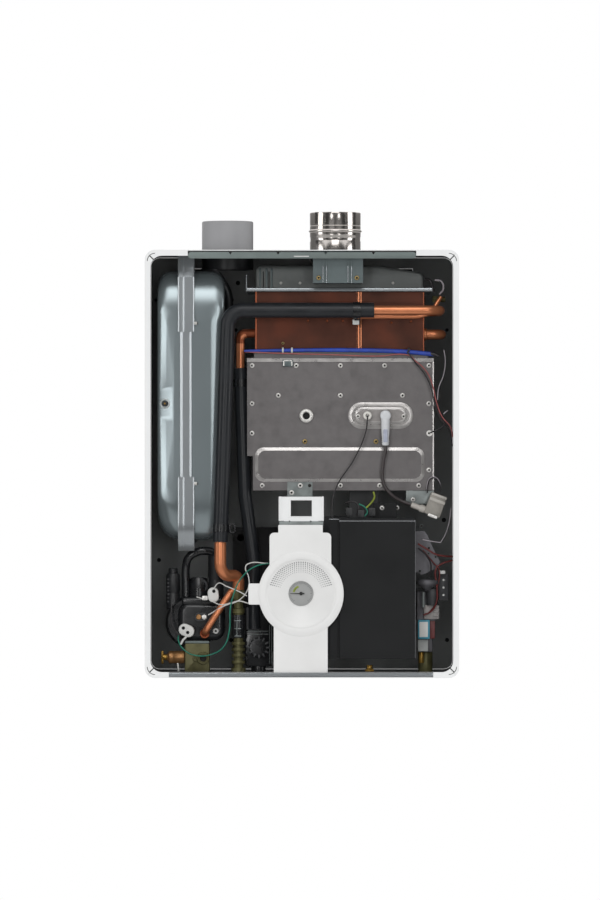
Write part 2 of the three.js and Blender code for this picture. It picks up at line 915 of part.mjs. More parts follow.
// Hood over the heat exchanger, open below, with the flue hole in its top.
const doorFront = frontPlane + door.fromFront;
const hoodZ = [hoodTop - hood.height, hoodTop];
function hoodOutline(inset) {
  const [left, right] = grown(coreX, -inset);
  const top = hoodTop - inset;
  const shoulder = top - hood.slopeDrop;
  const round = hood.round - inset;
  const outline = new THREE.Shape();
  outline.moveTo(left, hoodZ[0] - (inset > 0 ? overrun : 0));
  outline.lineTo(right, hoodZ[0] - (inset > 0 ? overrun : 0));
  outline.absarc(right - round, shoulder - round, round, 0, Math.PI / 2);
  outline.lineTo(coreX[1] - hood.slopeFromRight, top);
  outline.absarc(left + round, top - round, round, Math.PI / 2, Math.PI);
  return outline;
}
place(
  "flue_hood",
  cut(
    join(
      frontSheet(hoodOutline(0), stackY),
      block(grown(coreX, stack.flange), [doorFront, stackY[1]], span(hoodZ[0], hood.flangeSheet)),
    ),
    frontSheet(hoodOutline(hood.wall), grown(stackY, -hood.wall)),
    barAlongZ(
      exhaustPlace,
      [hoodTop - hood.wall - overrun, hoodTop + overrun],
      exhaustBore,
      sides.large,
    ),
  ),
  finish.greyHood,
);

// Bracket that hangs the hood from the top sheet.
const hangerX = about(coreMiddleX - hanger.leftOfMiddle, hanger.width);
const hangerZ = [hoodTop - hanger.bottom, inside.top - gap];
const hangerFront = frontPlane + hanger.fromFront;
place(
  "exchanger_hanger",
  join(
    block(hangerX, span(hangerFront, hanger.sheet), hangerZ),
    block(hangerX, span(hangerFront, hanger.leafDepth), span(hangerZ[1] - hanger.sheet, hanger.sheet)),
    block(hangerX, [hangerFront, stackY[0] - gap], span(hangerZ[0], hanger.sheet)),
    ...hangerRibShares.map((share) =>
      block(
        about(hangerX[0] + share * hanger.width, hanger.ribWidth),
        [hangerFront - hanger.ribOut, hangerFront + hanger.sheet / 2],
        hangerZ,
      ),
    ),
  ),
  finish.greyTrim,
);

// Copper heat exchanger: a shell full of upright fins, with a return bend on its right side.
const coreZ = [hoodZ[0] - gap - exchanger.height, hoodZ[0] - gap];
const finX = evenly(grown(coreX, (coreX[0] - coreX[1]) / exchanger.fins), exchanger.fins);
const finY = grown(stackY, -exchanger.wall / 2);
const finZ = grown(coreZ, -exchanger.finInset);
const bendZ = coreZ[0] + returnBend.above;
const bendStart = coreX[1] - exchanger.wall / 2;
const bendEnd = coreX[1] + returnBend.reach;
const bendY = span(stackY[0] + returnBend.fromFace, returnBend.pitch);
const bendLine = new PipeLine(
  [
    [bendStart, bendY[0], bendZ],
    [bendEnd, bendY[0], bendZ],
    [bendEnd, bendY[1], bendZ],
    [bendStart, bendY[1], bendZ],
  ],
  returnBend.bend,
);
place(
  "heat_exchanger",
  join(
    cut(
      block(coreX, stackY, coreZ),
      block(grown(coreX, -exchanger.wall), grown(stackY, -exchanger.wall), grown(coreZ, overrun)),
    ),
    block(
      about(coreX[1] - exchanger.seamFromRight, exchanger.seamWidth),
      [stackY[0] - exchanger.seamOut, stackY[0] + exchanger.wall / 2],
      coreZ,
    ),
    ...finX.map((x) => block(about(x, exchanger.finSheet), finY, finZ)),
    pipe(bendLine, returnBend.radius),
  ),
  finish.brownCopper,
);

// Combustion chamber, open to the front, to the heat exchanger above and to the burner below.
const doorZ = [inside.floor + door.aboveFloor, coreZ[0] - door.belowExchanger];
const doorMiddle = { x: (doorX[0] + doorX[1]) / 2, z: (doorZ[0] + doorZ[1]) / 2 };
const chamberX = [doorX[0] + chamber.insetLeft, doorX[1] - chamber.insetRight];
const chamberZ = [doorZ[0] + chamber.aboveDoor, coreZ[0] - gap];
const chamberY = [doorFront + door.sheet + gap, stackY[1]];
const narrowCut = block(
  [doorX[0] - overrun, doorX[0] + door.narrowing],
  [frontPlane, stackY[1]],
  [doorZ[0] - overrun, doorZ[0] + door.narrowHeight],
);
place(
  "combustion_chamber",
  cut(
    join(
      block(chamberX, chamberY, chamberZ),
      block(grown(doorX, -chamber.flangeInset), span(chamberY[0], chamber.sheet), [chamberZ[0], doorZ[1]]),
    ),
    block(
      grown(chamberX, -chamber.sheet),
      [chamberY[0] + chamber.sheet, chamberY[1] - chamber.sheet],
      grown(chamberZ, overrun),
    ),
    block(
      grown(chamberX, -chamber.flangeWidth),
      grown(span(chamberY[0], chamber.sheet), overrun),
      [chamberZ[0] + burner.height + chamber.flangeWidth, doorZ[1] - chamber.flangeWidth],
    ),
    narrowCut,
  ),
  finish.steelPlate,
);

// Burner tray in the bottom of the chamber, fed from below and slotted on top.
const trayX = grown(chamberX, -chamber.sheet - gap);
const trayY = [chamberY[0] + chamber.sheet + gap, chamberY[1] - chamber.sheet - gap];
const trayZ = span(chamberZ[0], burner.height);
const fanCentre = { x: doorMiddle.x - fan.leftOfMiddle, z: inside.floor + fan.aboveFloor };
const fanY = span(frontPlane + fan.fromFront, fan.depth);
const ductX = [fanCentre.x + fan.radius - fan.ductWidth, fanCentre.x + fan.radius];
const slotMargin = (trayX[1] - trayX[0]) / burner.slots;
const slotX = evenly(grown(trayX, -slotMargin), burner.slots);
const slotY = grown(trayY, -burner.slotInset);
const slotZ = [trayZ[1] - burner.wall - overrun, trayZ[1] + overrun];
place(
  "burner",
  cut(
    block(trayX, trayY, trayZ),
    block(grown(trayX, -burner.wall), grown(trayY, -burner.wall), grown(trayZ, -burner.wall)),
    block(
      grown(ductX, -fan.wall),
      grown(fanY, -fan.wall),
      [trayZ[0] - overrun, trayZ[0] + burner.wall + overrun],
    ),
    ...slotX.map((x) => block(about(x, burner.slotWidth), slotY, slotZ)),
  ),
  finish.steelPlate,
);

// Burner door with its raised panel and screws.
const padCentre = {
  x: doorMiddle.x + igniterPlate.rightOfMiddle,
  z: doorMiddle.z + igniterPlate.aboveMiddle,
};
const rodPlace = { x: padCentre.x - flameRod.fromMiddle, z: padCentre.z };
const sparkPlace = { x: padCentre.x + electrode.fromMiddle, z: padCentre.z };
const portPlace = { x: doorMiddle.x - sightPort.leftOfMiddle, z: doorMiddle.z + sightPort.aboveMiddle };
const doorScrews = [
  ...evenly(grown(doorX, -doorScrew.edge), doorScrew.rowCount).map((x) => [x, doorZ[1] - doorScrew.topRow]),
  ...evenly(grown(doorX, -doorScrew.bottomInset), doorScrew.rowCount).map((x) => [
    x,
    doorZ[0] + doorScrew.bottomRow,
  ]),
  ...evenly(grown(doorX, -doorScrew.innerInset), doorScrew.innerCount).map((x) => [
    x,
    doorZ[1] - doorScrew.innerRow,
  ]),
  ...grown(doorX, -doorScrew.lowInset).map((x) => [x, doorMiddle.z - doorScrew.lowBelowMiddle]),
  ...grown(doorX, -doorScrew.edge).map((x) => [x, doorMiddle.z + doorScrew.sideAboveMiddle]),
  ...grown(doorX, -doorScrew.edge).map((x) => [x, doorMiddle.z - doorScrew.sideBelowMiddle]),
  [doorX[1] - doorScrew.edge, doorZ[0] + doorScrew.rightLowFromBottom],
];
const panelX = [doorX[0] + door.embossFromLeft, doorX[1] - door.embossFromRight];
const panelZ = door.embossUpShares.map((share) => doorZ[0] + share * (doorZ[1] - doorZ[0]));
const zincX = [coverX - zincBracket.left, coverX + zincBracket.right];
const clearOfZinc = ([x, z]) =>
  x + doorScrew.radius < zincX[0] || x - doorScrew.radius > zincX[1] || z > panelZ[0];
const doorHoleY = [doorFront - overrun, chamberY[0] + overrun];
const doorHoles = [
  barAlongY(rodPlace, doorHoleY, flameRod.rodRadius + holeSlack, sides.small),
  barAlongY(sparkPlace, doorHoleY, electrode.rodRadius + holeSlack, sides.small),
  barAlongY(portPlace, doorHoleY, sightPort.bore, sides.medium),
];
place(
  "burner_door",
  cut(
    join(
      block(doorX, span(doorFront, door.sheet), doorZ),
      block(doorX, [doorFront - door.sheet, doorFront + door.sheet / 2], [doorZ[1] - door.topLip, doorZ[1]]),
      frontSheet(roundedOutline(panelX, panelZ, door.embossRound), [
        doorFront - door.embossOut,
        doorFront + door.sheet / 2,
      ]),
      ...doorScrews.filter(clearOfZinc).map(([x, z]) => frontScrew(x, z, doorFront, doorScrew)),
    ),
    narrowCut,
    ...doorHoles,
  ),
  finish.steelPlate,
);
const portY = [doorFront - gap - sightPort.length, doorFront - gap];
place(
  "sight_port",
  cut(
    barAlongY(portPlace, portY, sightPort.radius, sides.large),
    barAlongY(portPlace, grown(portY, overrun), sightPort.bore, sides.medium),
  ),
  finish.steelPlate,
);

// Igniter plate with its spark electrode, the flame rod beside it, and the boot over the electrode.
const plateFront = doorFront - gap - igniterPlate.sheet;
const padFront = plateFront - igniterPlate.pad;
const plateOutline = stadium(about(padCentre.x, igniterPlate.width), about(padCentre.z, igniterPlate.height));
const padOutline = stadium(
  about(padCentre.x, igniterPlate.padWidth),
  about(padCentre.z, igniterPlate.padHeight),
);
place(
  "igniter_plate",
  cut(
    join(
      frontSheet(plateOutline, [plateFront, doorFront - gap]),
      frontSheet(padOutline, [padFront, plateFront + gap]),
      barAlongY(sparkPlace, [padFront - electrode.length, padFront + igniterPlate.pad], electrode.radius),
      barAlongY(sparkPlace, [padFront, doorFront + electrode.reach], electrode.rodRadius, sides.small),
    ),
    barAlongY(rodPlace, grown([padFront, doorFront], overrun), flameRod.rodRadius + holeSlack, sides.small),
  ),
  finish.steelPlate,
);
place(
  "flame_rod",
  join(
    barAlongY(rodPlace, [padFront - gap - flameRod.length, padFront - gap], flameRod.radius),
    barAlongY(
      rodPlace,
      [padFront - flameRod.length / 2, doorFront + flameRod.reach],
      flameRod.rodRadius,
      sides.small,
    ),
  ),
  finish.ceramic,
);
const bootMiddleY = padFront - gap / 2 - boot.length / 2;
const bootLow = sparkPlace.z - boot.drop;
const thickSocket = wire.thick + gap;
place(
  "ignition_boot",
  cut(
    join(
      barAlongY(sparkPlace, [padFront - boot.length, padFront - gap], boot.radius),
      barAlongZ({ x: sparkPlace.x, y: bootMiddleY }, [bootLow, sparkPlace.z], boot.stemRadius),
    ),
    barAlongY(
      sparkPlace,
      [padFront - electrode.length - gap, padFront + overrun],
      clearBore(electrode.radius),
    ),
    barAlongZ(
      { x: sparkPlace.x, y: bootMiddleY },
      [bootLow - overrun, bootLow + boot.socketDepth],
      thickSocket,
      sides.small,
    ),
  ),
  finish.silicone,
);

// Spark generator, hung askew under the right end of the chamber by its own bracket.
const sparkCentre = new THREE.Vector3(
  doorX[1] + sparkBox.fromDoorRight,
  frontPlane + sparkBox.fromFront + sparkBox.depth / 2,
  doorZ[0] - sparkBox.below,
);
const sparkTurn = new THREE.Matrix4().makeRotationY(sparkBox.tilt).setPosition(sparkCentre);
function tiltedBar(from, to, radius, count) {
  const bar = new THREE.CylinderGeometry(radius, radius, to - from, count);
  bar.rotateZ(-Math.PI / 2);
  bar.translate((from + to) / 2, -sparkNozzle.forward, -sparkNozzle.low);
  bar.applyMatrix4(sparkTurn);
  return solid(bar);
}
const sparkBody = new THREE.BoxGeometry(sparkBox.width, sparkBox.depth, sparkBox.height);
sparkBody.applyMatrix4(sparkTurn);
const nozzleTip = -sparkBox.width / 2 - sparkNozzle.length;
const sparkBracketX = [doorX[1] - sparkBracket.width, doorX[1]];
const sparkBracketZ = [chamberZ[0] - gap - sparkBracket.height, chamberZ[0] - gap];
place(
  "spark_generator",
  cut(
    join(
      solid(sparkBody),
      tiltedBar(nozzleTip, 0, sparkNozzle.radius, sides.small),
      block(sparkBracketX, span(chamberY[0], sparkBracket.sheet), sparkBracketZ),
      block(
        sparkBracketX,
        span(chamberY[0], sparkBracket.depth),
        span(sparkBracketZ[1] - sparkBracket.sheet, sparkBracket.sheet),
      ),
    ),
    tiltedBar(nozzleTip - overrun, nozzleTip + sparkNozzle.socketDepth, thickSocket, sides.small),
  ),
  finish.beigePlastic,
);

// Fan housing with its duct up to the burner, the impeller inside it and the motor behind it.
const fanInnerY = grown(fanY, -fan.wall);
const ductZ = [fanCentre.z, trayZ[0] - gap];
place(
  "fan_housing",
  cut(
    join(barAlongY(fanCentre, fanY, fan.radius, sides.large), block(ductX, fanY, ductZ)),
    barAlongY(fanCentre, fanInnerY, fan.radius - fan.wall, sides.large),
    block(grown(ductX, -fan.wall), fanInnerY, [ductZ[0], ductZ[1] + overrun]),
    barAlongY(fanCentre, [fanY[0] - overrun, fanInnerY[0] + overrun], fan.inletRadius, sides.medium),
    barAlongY(fanCentre, [fanInnerY[1] - overrun, fanY[1] + overrun], impeller.shaft + gap, sides.pipe),
  ),
  finish.castAluminium,
);
function radialBlade(angle, { x, z }, [r0, r1], [y0, y1], sheet) {
  const blade = new THREE.BoxGeometry(r1 - r0, y1 - y0, sheet);
  blade.translate((r0 + r1) / 2, (y0 + y1) / 2, 0);
  blade.rotateY(angle);
  blade.translate(x, 0, z);
  return solid(blade);
}
function bladeWheel(centre, rear, wheel, count, depth) {
  const discY = [rear - wheel.disc, rear];
  const vaneY = [discY[0] - depth, discY[0] + wheel.disc / 2];
  const vaneR = [wheel.hub / 2, wheel.radius - wheel.disc];
  return join(
    barAlongY(centre, discY, wheel.radius, sides.medium),
    barAlongY(centre, [vaneY[0], rear], wheel.hub, sides.pipe),
    ...each(count, (i) => radialBlade((2 * Math.PI * i) / count, centre, vaneR, vaneY, wheel.vaneSheet)),
    barAlongY(centre, [rear - wheel.disc, rear + wheel.endRoom + wheel.shaftReach], wheel.shaft, sides.pipe),
  );
}
const fanWheelRear = fanInnerY[1] - impeller.endRoom;
place(
  "fan_impeller",
  bladeWheel(fanCentre, fanWheelRear, impeller, impeller.vanes, impeller.vaneDepth),
  finish.castAluminium,
);
const fanMotorY = span(fanY[1] + gap, fanMotor.length);
place(
  "fan_motor",
  cut(
    join(
      barAlongY(fanCentre, fanMotorY, fanMotor.radius, sides.large),
      block(
        about(fanCentre.x, fanMotor.footWidth),
        [fanMotorY[1] - overrun, inside.back - gap],
        about(fanCentre.z, fanMotor.footSheet),
      ),
    ),
    barAlongY(
      fanCentre,
      [fanMotorY[0] - overrun, fanWheelRear + impeller.endRoom + impeller.shaftReach + gap],
      impeller.shaft + gap,
      sides.pipe,
    ),
  ),
  finish.blackPlastic,
);

// Gas valve with its threaded inlet, and the gas pipe that ends in a mixing ring on the fan inlet.
function socketBar(centre, top) {
  return barAlongZ(centre, [-casing.height / 2 + socket.recess, top], socket.radius);
}
function socketBore(centre) {
  const mouth = -casing.height / 2;
  const boreZ = [mouth - overrun, mouth + socket.recess + socket.boreDepth];
  return barAlongZ(centre, boreZ, socket.bore, sides.pipe);
}
const gasX = span(inside.right - gasValve.fromRightWall - gasValve.width, gasValve.width);
const gasY = span(frontPlane + gasValve.fromFront, gasValve.depth);
const gasZ = span(inside.floor + gasValve.aboveFloor, gasValve.height);
const gasMiddleY = (gasY[0] + gasY[1]) / 2;
const gasLowerX = span(gasX[0] + gasValve.lowerInset, gasValve.lowerWidth);
const gasSocket = { x: (gasLowerX[0] + gasLowerX[1]) / 2, y: gasMiddleY };
place(
  "gas_valve",
  cut(
    join(
      block(gasX, gasY, gasZ),
      block(
        gasLowerX,
        about(gasMiddleY, gasValve.lowerDepth),
        [gasZ[0] - gasValve.lowerHeight, gasZ[0] + gap],
      ),
      socketBar(gasSocket, gasZ[0] - gasValve.lowerHeight + gap),
    ),
    socketBore(gasSocket),
  ),
  finish.castAluminium,
);
const mixerY = [fanY[0] - gap - mixer.length, fanY[0] - gap];
const mixerMiddleY = (mixerY[0] + mixerY[1]) / 2;
const gasPipeZ = fanCentre.z - gasPipe.drop;
const gasLine = new PipeLine(
  [
    [gasX[0] - gap, mixerMiddleY, gasPipeZ],
    [fanCentre.x, mixerMiddleY, gasPipeZ],
    [fanCentre.x, mixerMiddleY, fanCentre.z - (mixer.radius + mixer.bore) / 2],
  ],
  gasPipe.bend,
);
place(
  "gas_pipe",
  join(
    cut(
      barAlongY(fanCentre, mixerY, mixer.radius, sides.large),
      barAlongY(fanCentre, grown(mixerY, overrun), mixer.bore, sides.medium),
    ),
    pipe(gasLine, gasPipe.radius),
  ),
  finish.castAluminium,
);

// Control box: an open tray with a wire channel down its left side, a lid over it and a circuit board.
const boxY = span(frontPlane + controlBox.fromFront, controlBox.depth);
const boxZ = span(inside.floor + controlBox.aboveFloor, controlBox.height);
const lidX = [boxX[0] + controlBox.channelWidth, boxX[1]];
const lidZ = [boxZ[0], boxZ[1] - lid.belowTop];
const cavityX = grown(lidX, -controlBox.wall);
const cavityZ = grown(lidZ, -controlBox.wall);
const cavityRear = boxY[1] - controlBox.wall;
const boardX = grown(cavityX, -board.margin);
const boardZ = grown(cavityZ, -board.margin);
const postFront = cavityRear - board.postHeight;
const postZ = grown(boardZ, -board.margin);
const postPlaces = grown(boardX, -board.margin).flatMap((x) => postZ.map((z) => ({ x, z })));
place(
  "control_box",
  join(
    cut(
      block(boxX, boxY, boxZ),
      block(cavityX, [boxY[0] - overrun, cavityRear], cavityZ),
      block([boxX[0] + controlBox.wall, lidX[0]], grown(boxY, -controlBox.wall), grown(boxZ, overrun)),
    ),
    block(
      span(boxX[0] + boxTab.fromLeft, boxTab.width),
      [boxY[1] - boxTab.sheet, boxY[1]],
      [boxZ[1] - boxTab.sheet, boxZ[1] + boxTab.height],
    ),
    ...postPlaces.map((at) =>
      barAlongY(at, [postFront, boxY[1] - controlBox.wall / 2], board.postRadius, sides.small),
    ),
  ),
  finish.boxPaint,
);
const lidY = [boxY[0] - gap - lid.sheet, boxY[0] - gap];
const rimY = [lidY[1] - gap, boxY[0] + lid.rim];
const rimX = grown(cavityX, -gap);
const rimZ = grown(cavityZ, -gap);
place(
  "control_lid",
  join(
    block(lidX, lidY, lidZ),
    cut(
      block(rimX, rimY, rimZ),
      block(grown(rimX, -lid.rimSheet), grown(rimY, overrun), grown(rimZ, -lid.rimSheet)),
    ),
  ),
  finish.boxPaint,
);
const boardY = [postFront - gap - board.sheet, postFront - gap];
const partPitch = (boardZ[1] - boardZ[0]) / board.parts;
place(
  "circuit_board",
  join(
    block(boardX, boardY, boardZ),
    ...each(board.parts, (i) =>
      block(
        grown(boardX, -board.margin * (i + 1)),
        [boardY[0] - board.partHeight, boardY[0] + gap],
        about(boardZ[0] + (i + 0.5) * partPitch, partPitch / 2),
      ),
    ),
  ),
  finish.boardGreen,
);

// Steel bracket behind the control box and over the gas valve, footed on the back panel.
const bracketRight = inside.right - sideBracket.fromRightWall;
const bracketX = [bracketRight - sideBracket.width, bracketRight];
const bracketZ = span(gasZ[1] + gap, sideBracket.height);
const bracketFront = boxY[1] + gap;
place(
  "side_bracket",
  join(
    block(bracketX, span(bracketFront, sideBracket.sheet), bracketZ),
    block([bracketRight - sideBracket.sheet, bracketRight], [bracketFront, inside.back - gap], bracketZ),
    block(bracketX, [bracketFront, gasMiddleY], span(bracketZ[0], sideBracket.sheet)),
  ),
  finish.steelPlate,
);

// Water block with the pump volute, and the pump wheel and motor behind it.
const blockX = span(inside.left + waterBlock.fromLeftWall, waterBlock.width);
const blockY = span(frontPlane + waterBlock.fromFront, waterBlock.depth);
const blockZ = span(inside.floor + waterBlock.aboveFloor, waterBlock.height);
const pumpCentre = { x: inside.left + pump.fromLeftWall, z: inside.floor + pump.aboveFloor };
const pumpY = span(frontPlane + pump.fromFront, pump.depth);
const pumpInnerY = grown(pumpY, -pump.wall);
const ventPlace = { x: inside.left + airVent.fromLeftWall, y: frontPlane + airVent.fromFront };
const ventZ = span(inside.floor + airVent.aboveFloor, airVent.height);
const diverterPlace = { x: inside.left + diverter.fromLeftWall, y: frontPlane + diverter.fromFront };
const valveBoreFloor = blockZ[1] - plunger.boreDepth;
place(
  "water_block",
  cut(
    join(block(blockX, blockY, blockZ), barAlongY(pumpCentre, pumpY, pump.radius, sides.large)),
    block(grown(blockX, pump.radius), grown(blockY, pump.depth), [blockZ[0] - pump.radius, blockZ[0]]),
    barAlongY(pumpCentre, pumpInnerY, pump.chamberRadius, sides.medium),
    barAlongY(pumpCentre, [pumpInnerY[1] - overrun, pumpY[1] + overrun], pumpWheel.shaft + gap, sides.pipe),
    barAlongZ(ventPlace, [ventZ[0] - gap, ventZ[1]], airVent.radius + gap, sides.medium),
    barAlongZ(diverterPlace, span(blockZ[1], pump.radius), diverter.flange + gap, sides.medium),
    barAlongZ(diverterPlace, [valveBoreFloor, blockZ[1] + overrun], clearBore(plunger.radius), sides.pipe),
  ),
  finish.blackPlastic,
);
const pumpWheelRear = pumpInnerY[1] - pumpWheel.endRoom;
place(
  "pump_impeller",
  bladeWheel(pumpCentre, pumpWheelRear, pumpWheel, pumpWheel.vanes, pumpWheel.vaneDepth),
  finish.stainless,
);
const shaftEnd = pumpWheelRear + pumpWheel.endRoom + pumpWheel.shaftReach;
const pumpMotorY = span(pumpY[1] + gap, pumpMotor.length);
place(
  "pump_motor",
  cut(
    barAlongY(pumpCentre, pumpMotorY, pumpMotor.radius, sides.large),
    barAlongY(pumpCentre, [pumpMotorY[0] - overrun, shaftEnd + gap], pumpWheel.shaft + gap, sides.pipe),
  ),
  finish.blackPlastic,
);
place(
  "air_vent",
  join(
    barAlongZ(ventPlace, [ventZ[0], ventZ[1] - airVent.cap], airVent.radius),
    barAlongZ(ventPlace, [ventZ[0] + airVent.cap, ventZ[1]], airVent.capRadius, sides.pipe),
  ),
  finish.blackPlastic,
);

// Diverter motor on top of the water block, and the plunger it lifts.
const diverterZ = span(blockZ[1] + gap, diverter.height);
const plungerLow = valveBoreFloor + plunger.endRoom;
const stemTop = plungerLow + plunger.length + plunger.stemLength;
place(
  "diverter_motor",
  cut(
    join(
      barAlongZ(diverterPlace, diverterZ, diverter.radius),
      barAlongZ(diverterPlace, span(diverterZ[0], diverter.flangeSheet), diverter.flange),
    ),
    barAlongZ(
      diverterPlace,
      [diverterZ[0] - overrun, stemTop + plunger.travel + plunger.endRoom],
      clearBore(plunger.stem),
      sides.pipe,
    ),
  ),
  finish.blackPlastic,
);
place(
  "diverter_plunger",
  join(
    barAlongZ(diverterPlace, span(plungerLow, plunger.length), plunger.radius, sides.pipe),
    barAlongZ(diverterPlace, [plungerLow, stemTop], plunger.stem, sides.pipe),
  ),
  finish.stainless,
);

// Brass manifold under the water block, with a ring on its front and a threaded socket below.
const brassX = span(inside.left + brassBlock.fromLeftWall, brassBlock.width);
const brassY = span(frontPlane + brassBlock.fromFront, brassBlock.depth);
const brassZ = [inside.floor + brassBlock.aboveFloor, blockZ[0] - gap];
const ringPlace = { x: brassX[0] + brassRing.fromLeft, z: inside.floor + brassRing.aboveFloor };
const brassSocket = { x: (brassX[0] + brassX[1]) / 2, y: (brassY[0] + brassY[1]) / 2 };
place(
  "brass_manifold",
  cut(
    join(
      block(brassX, brassY, brassZ),
      barAlongY(ringPlace, [brassY[0] - brassRing.out, brassY[0] + overrun], brassRing.radius),
      socketBar(brassSocket, brassZ[0] + gap),
    ),
    barAlongY(ringPlace, [brassY[0] - brassRing.out - overrun, brassY[0] - gap], brassRing.bore, sides.pipe),
    socketBore(brassSocket),
  ),
  finish.brass,
);

// Drain valve on the left of the manifold, with its turning handle.
const drainLine = { y: frontPlane + drain.fromFront, z: inside.floor + drain.aboveFloor };
const drainX = [brassX[0] - gap - drain.length, brassX[0] - gap];
const hubX = [drainX[0] - gap - drainHandle.hubLength, drainX[0] - gap];
place(
  "drain_valve",
  cut(
    barAlongX(drainLine, drainX, drain.radius),
    barAlongX(
      drainLine,
      [drainX[0] - overrun, drainX[0] + drainHandle.spindleReach + gap],
      clearBore(drainHandle.spindle),
      sides.pipe,
    ),
  ),
  finish.brass,
);
place(
  "drain_handle",
  join(
    barAlongX(drainLine, hubX, drainHandle.hub, sides.pipe),
    barAlongX(drainLine, [hubX[0], drainX[0] + drainHandle.spindleReach], drainHandle.spindle, sides.pipe),
    block(
      span(hubX[0] - drainHandle.barSheet / 2, drainHandle.barSheet),
      about(drainLine.y, drainHandle.barWidth),
      about(drainLine.z, drainHandle.barLength),
    ),
  ),
  finish.brass,
);

// Flow fitting and flow sensor, each with a threaded socket in the floor.
const fittingPlace = { x: inside.left + flowFitting.fromLeftWall, y: frontPlane + flowFitting.fromFront };
const fittingTop = inside.floor + flowFitting.aboveFloor;
place(
  "flow_fitting",
  cut(
    join(
      barAlongZ(fittingPlace, [inside.floor + socket.height - gap, fittingTop], flowFitting.radius),
      barAlongZ(
        fittingPlace,
        [fittingTop - flowFitting.nutHeight, fittingTop],
        flowFitting.nutRadius,
        sides.hexagon,
      ),
      socketBar(fittingPlace, inside.floor + socket.height),
    ),
    socketBore(fittingPlace),
  ),
  finish.brass,
);
const sensorX = span(inside.left + flowSensor.fromLeftWall, flowSensor.width);
const sensorY = span(frontPlane + flowSensor.fromFront, flowSensor.depth);
const sensorZ = span(inside.floor + flowSensor.aboveFloor, flowSensor.height);
const sensorSocket = { x: (sensorX[0] + sensorX[1]) / 2, y: (sensorY[0] + sensorY[1]) / 2 };
place(
  "flow_sensor",
  cut(
    join(block(sensorX, sensorY, sensorZ), socketBar(sensorSocket, sensorZ[0] + gap)),
    socketBore(sensorSocket),
  ),
  finish.blackPlastic,
);

// Floor of the casing with a hole for each socket, and the grey strip in its front edge.
const bottomStripX = [casingX[0] + bottomStrip.leftRoom, casingX[1] - bottomStrip.rightRoom];
const bottomStripZ = [inside.floor + gap, inside.floor + gap + bottomStrip.height];
const socketPlaces = [gasSocket, brassSocket, fittingPlace, sensorSocket];
const throughFloor = [-casing.height / 2 - overrun, inside.floor + overrun];
place(
  "bottom_panel",
  cut(
    shell.intersect(frontSheet(bottomPart, throughY)),
    block(grown(bottomStripX, gap), lipCutY, [inside.floor, bottomStripZ[1] + gap]),
    ...socketPlaces.map((at) => barAlongZ(at, throughFloor, socket.radius + holeSlack, sides.medium)),
  ),
  finish.casePaint,
);
place(
  "bottom_strip",
  join(
    block(bottomStripX, span(frontPlane, strip.thickness), bottomStripZ),
    block(bottomStripX, span(frontPlane, strip.returnDepth), span(bottomStripZ[0], strip.thickness)),
  ),
  finish.greyTrim,
);

// Flow pipe: out of the heat exchanger on the right, across its front and down before the vessel.
const flowY = frontPlane + flowPipe.fromFront;
const flowZ = hoodZ[0] - flowRoute.belowHood;
const flowCornerX = vesselX[1] + flowRoute.besideVessel;
const flowLowX = vesselX[1] - flowRoute.lean;
const flowLowZ = vesselZ[0] - flowRoute.pastVessel;
const elbowZ = fittingTop + flowRoute.overFitting;
const flowRightX = coreX[1] + flowPipe.pastCore;
const flowLine = new PipeLine(
  [
    [coreX[1] + gap, stackY[0] + flowRoute.enterExchanger, flowZ],
    [flowRightX, stackY[0] + flowRoute.enterExchanger, flowZ],
    [flowRightX, flowY, flowZ],
    [flowCornerX, flowY, flowZ],
    [flowLowX, flowY, flowLowZ],
    [flowLowX, flowY, flowLowZ - flowPipe.bend],
  ],
  flowPipe.bend,
);
const tailLine = new PipeLine(
  [
    [flowLowX, flowY, flowLowZ - flowPipe.tailRadius],
    [flowLowX, flowY, elbowZ],
    [fittingPlace.x, fittingPlace.y, elbowZ],
    [fittingPlace.x, fittingPlace.y, fittingTop + gap],
  ],
  flowPipe.bend,
);
place(
  "flow_pipe",
  join(pipe(flowLine, flowPipe.radius), pipe(tailLine, flowPipe.tailRadius)),
  finish.brightCopper,
);
const flowBore = clearBore(flowPipe.radius);
const sleeveLine = new PipeLine(
  [
    [coreX[1] - sleeve.fromCoreRight, flowY, flowZ],
    [flowCornerX, flowY, flowZ],
    [flowLowX, flowY, flowLowZ],
  ],
  flowPipe.bend,
);
place("flow_pipe_sleeve", pipe(sleeveLine, flowBore + sleeve.thickness, flowBore), finish.blackFoam);

// Return pipe: out of the heat exchanger on the left and down beside the chamber to the flow sensor.
const returnY = frontPlane + returnPipe.fromFront;
const returnTopZ = coreZ[0] + returnRoute.aboveExchangerBottom;
const returnTopX = doorX[0] - returnRoute.fromDoor;
const returnSleeveZ = returnTopZ - returnRoute.sleeveBelow;
const returnMidZ = doorZ[0] - returnRoute.midBelowDoor;
const returnLowX = sensorX[0] + (sensorX[1] - sensorX[0]) / 3;
const returnRun = [
  [returnTopX, returnY, returnSleeveZ],
  [doorX[0] - returnRoute.midOut, returnY, returnMidZ],
  [returnLowX, returnY, returnMidZ - returnRoute.lowDrop],
  [returnLowX, returnY, sensorZ[1] + gap],
];
const returnLine = new PipeLine(
  [[coreX[0] - gap, returnY, returnTopZ], [returnTopX, returnY, returnTopZ], ...returnRun],
  returnPipe.bend,
);
place("return_pipe", pipe(returnLine, returnPipe.radius), finish.brightCopper);
const returnBore = clearBore(returnPipe.radius);
const returnSleeveLine = new PipeLine(returnRun, returnPipe.bend);
place(
  "return_pipe_sleeve",
  pipe(returnSleeveLine, returnBore + returnSleeve.thickness, returnBore),
  finish.blackFoam,
);

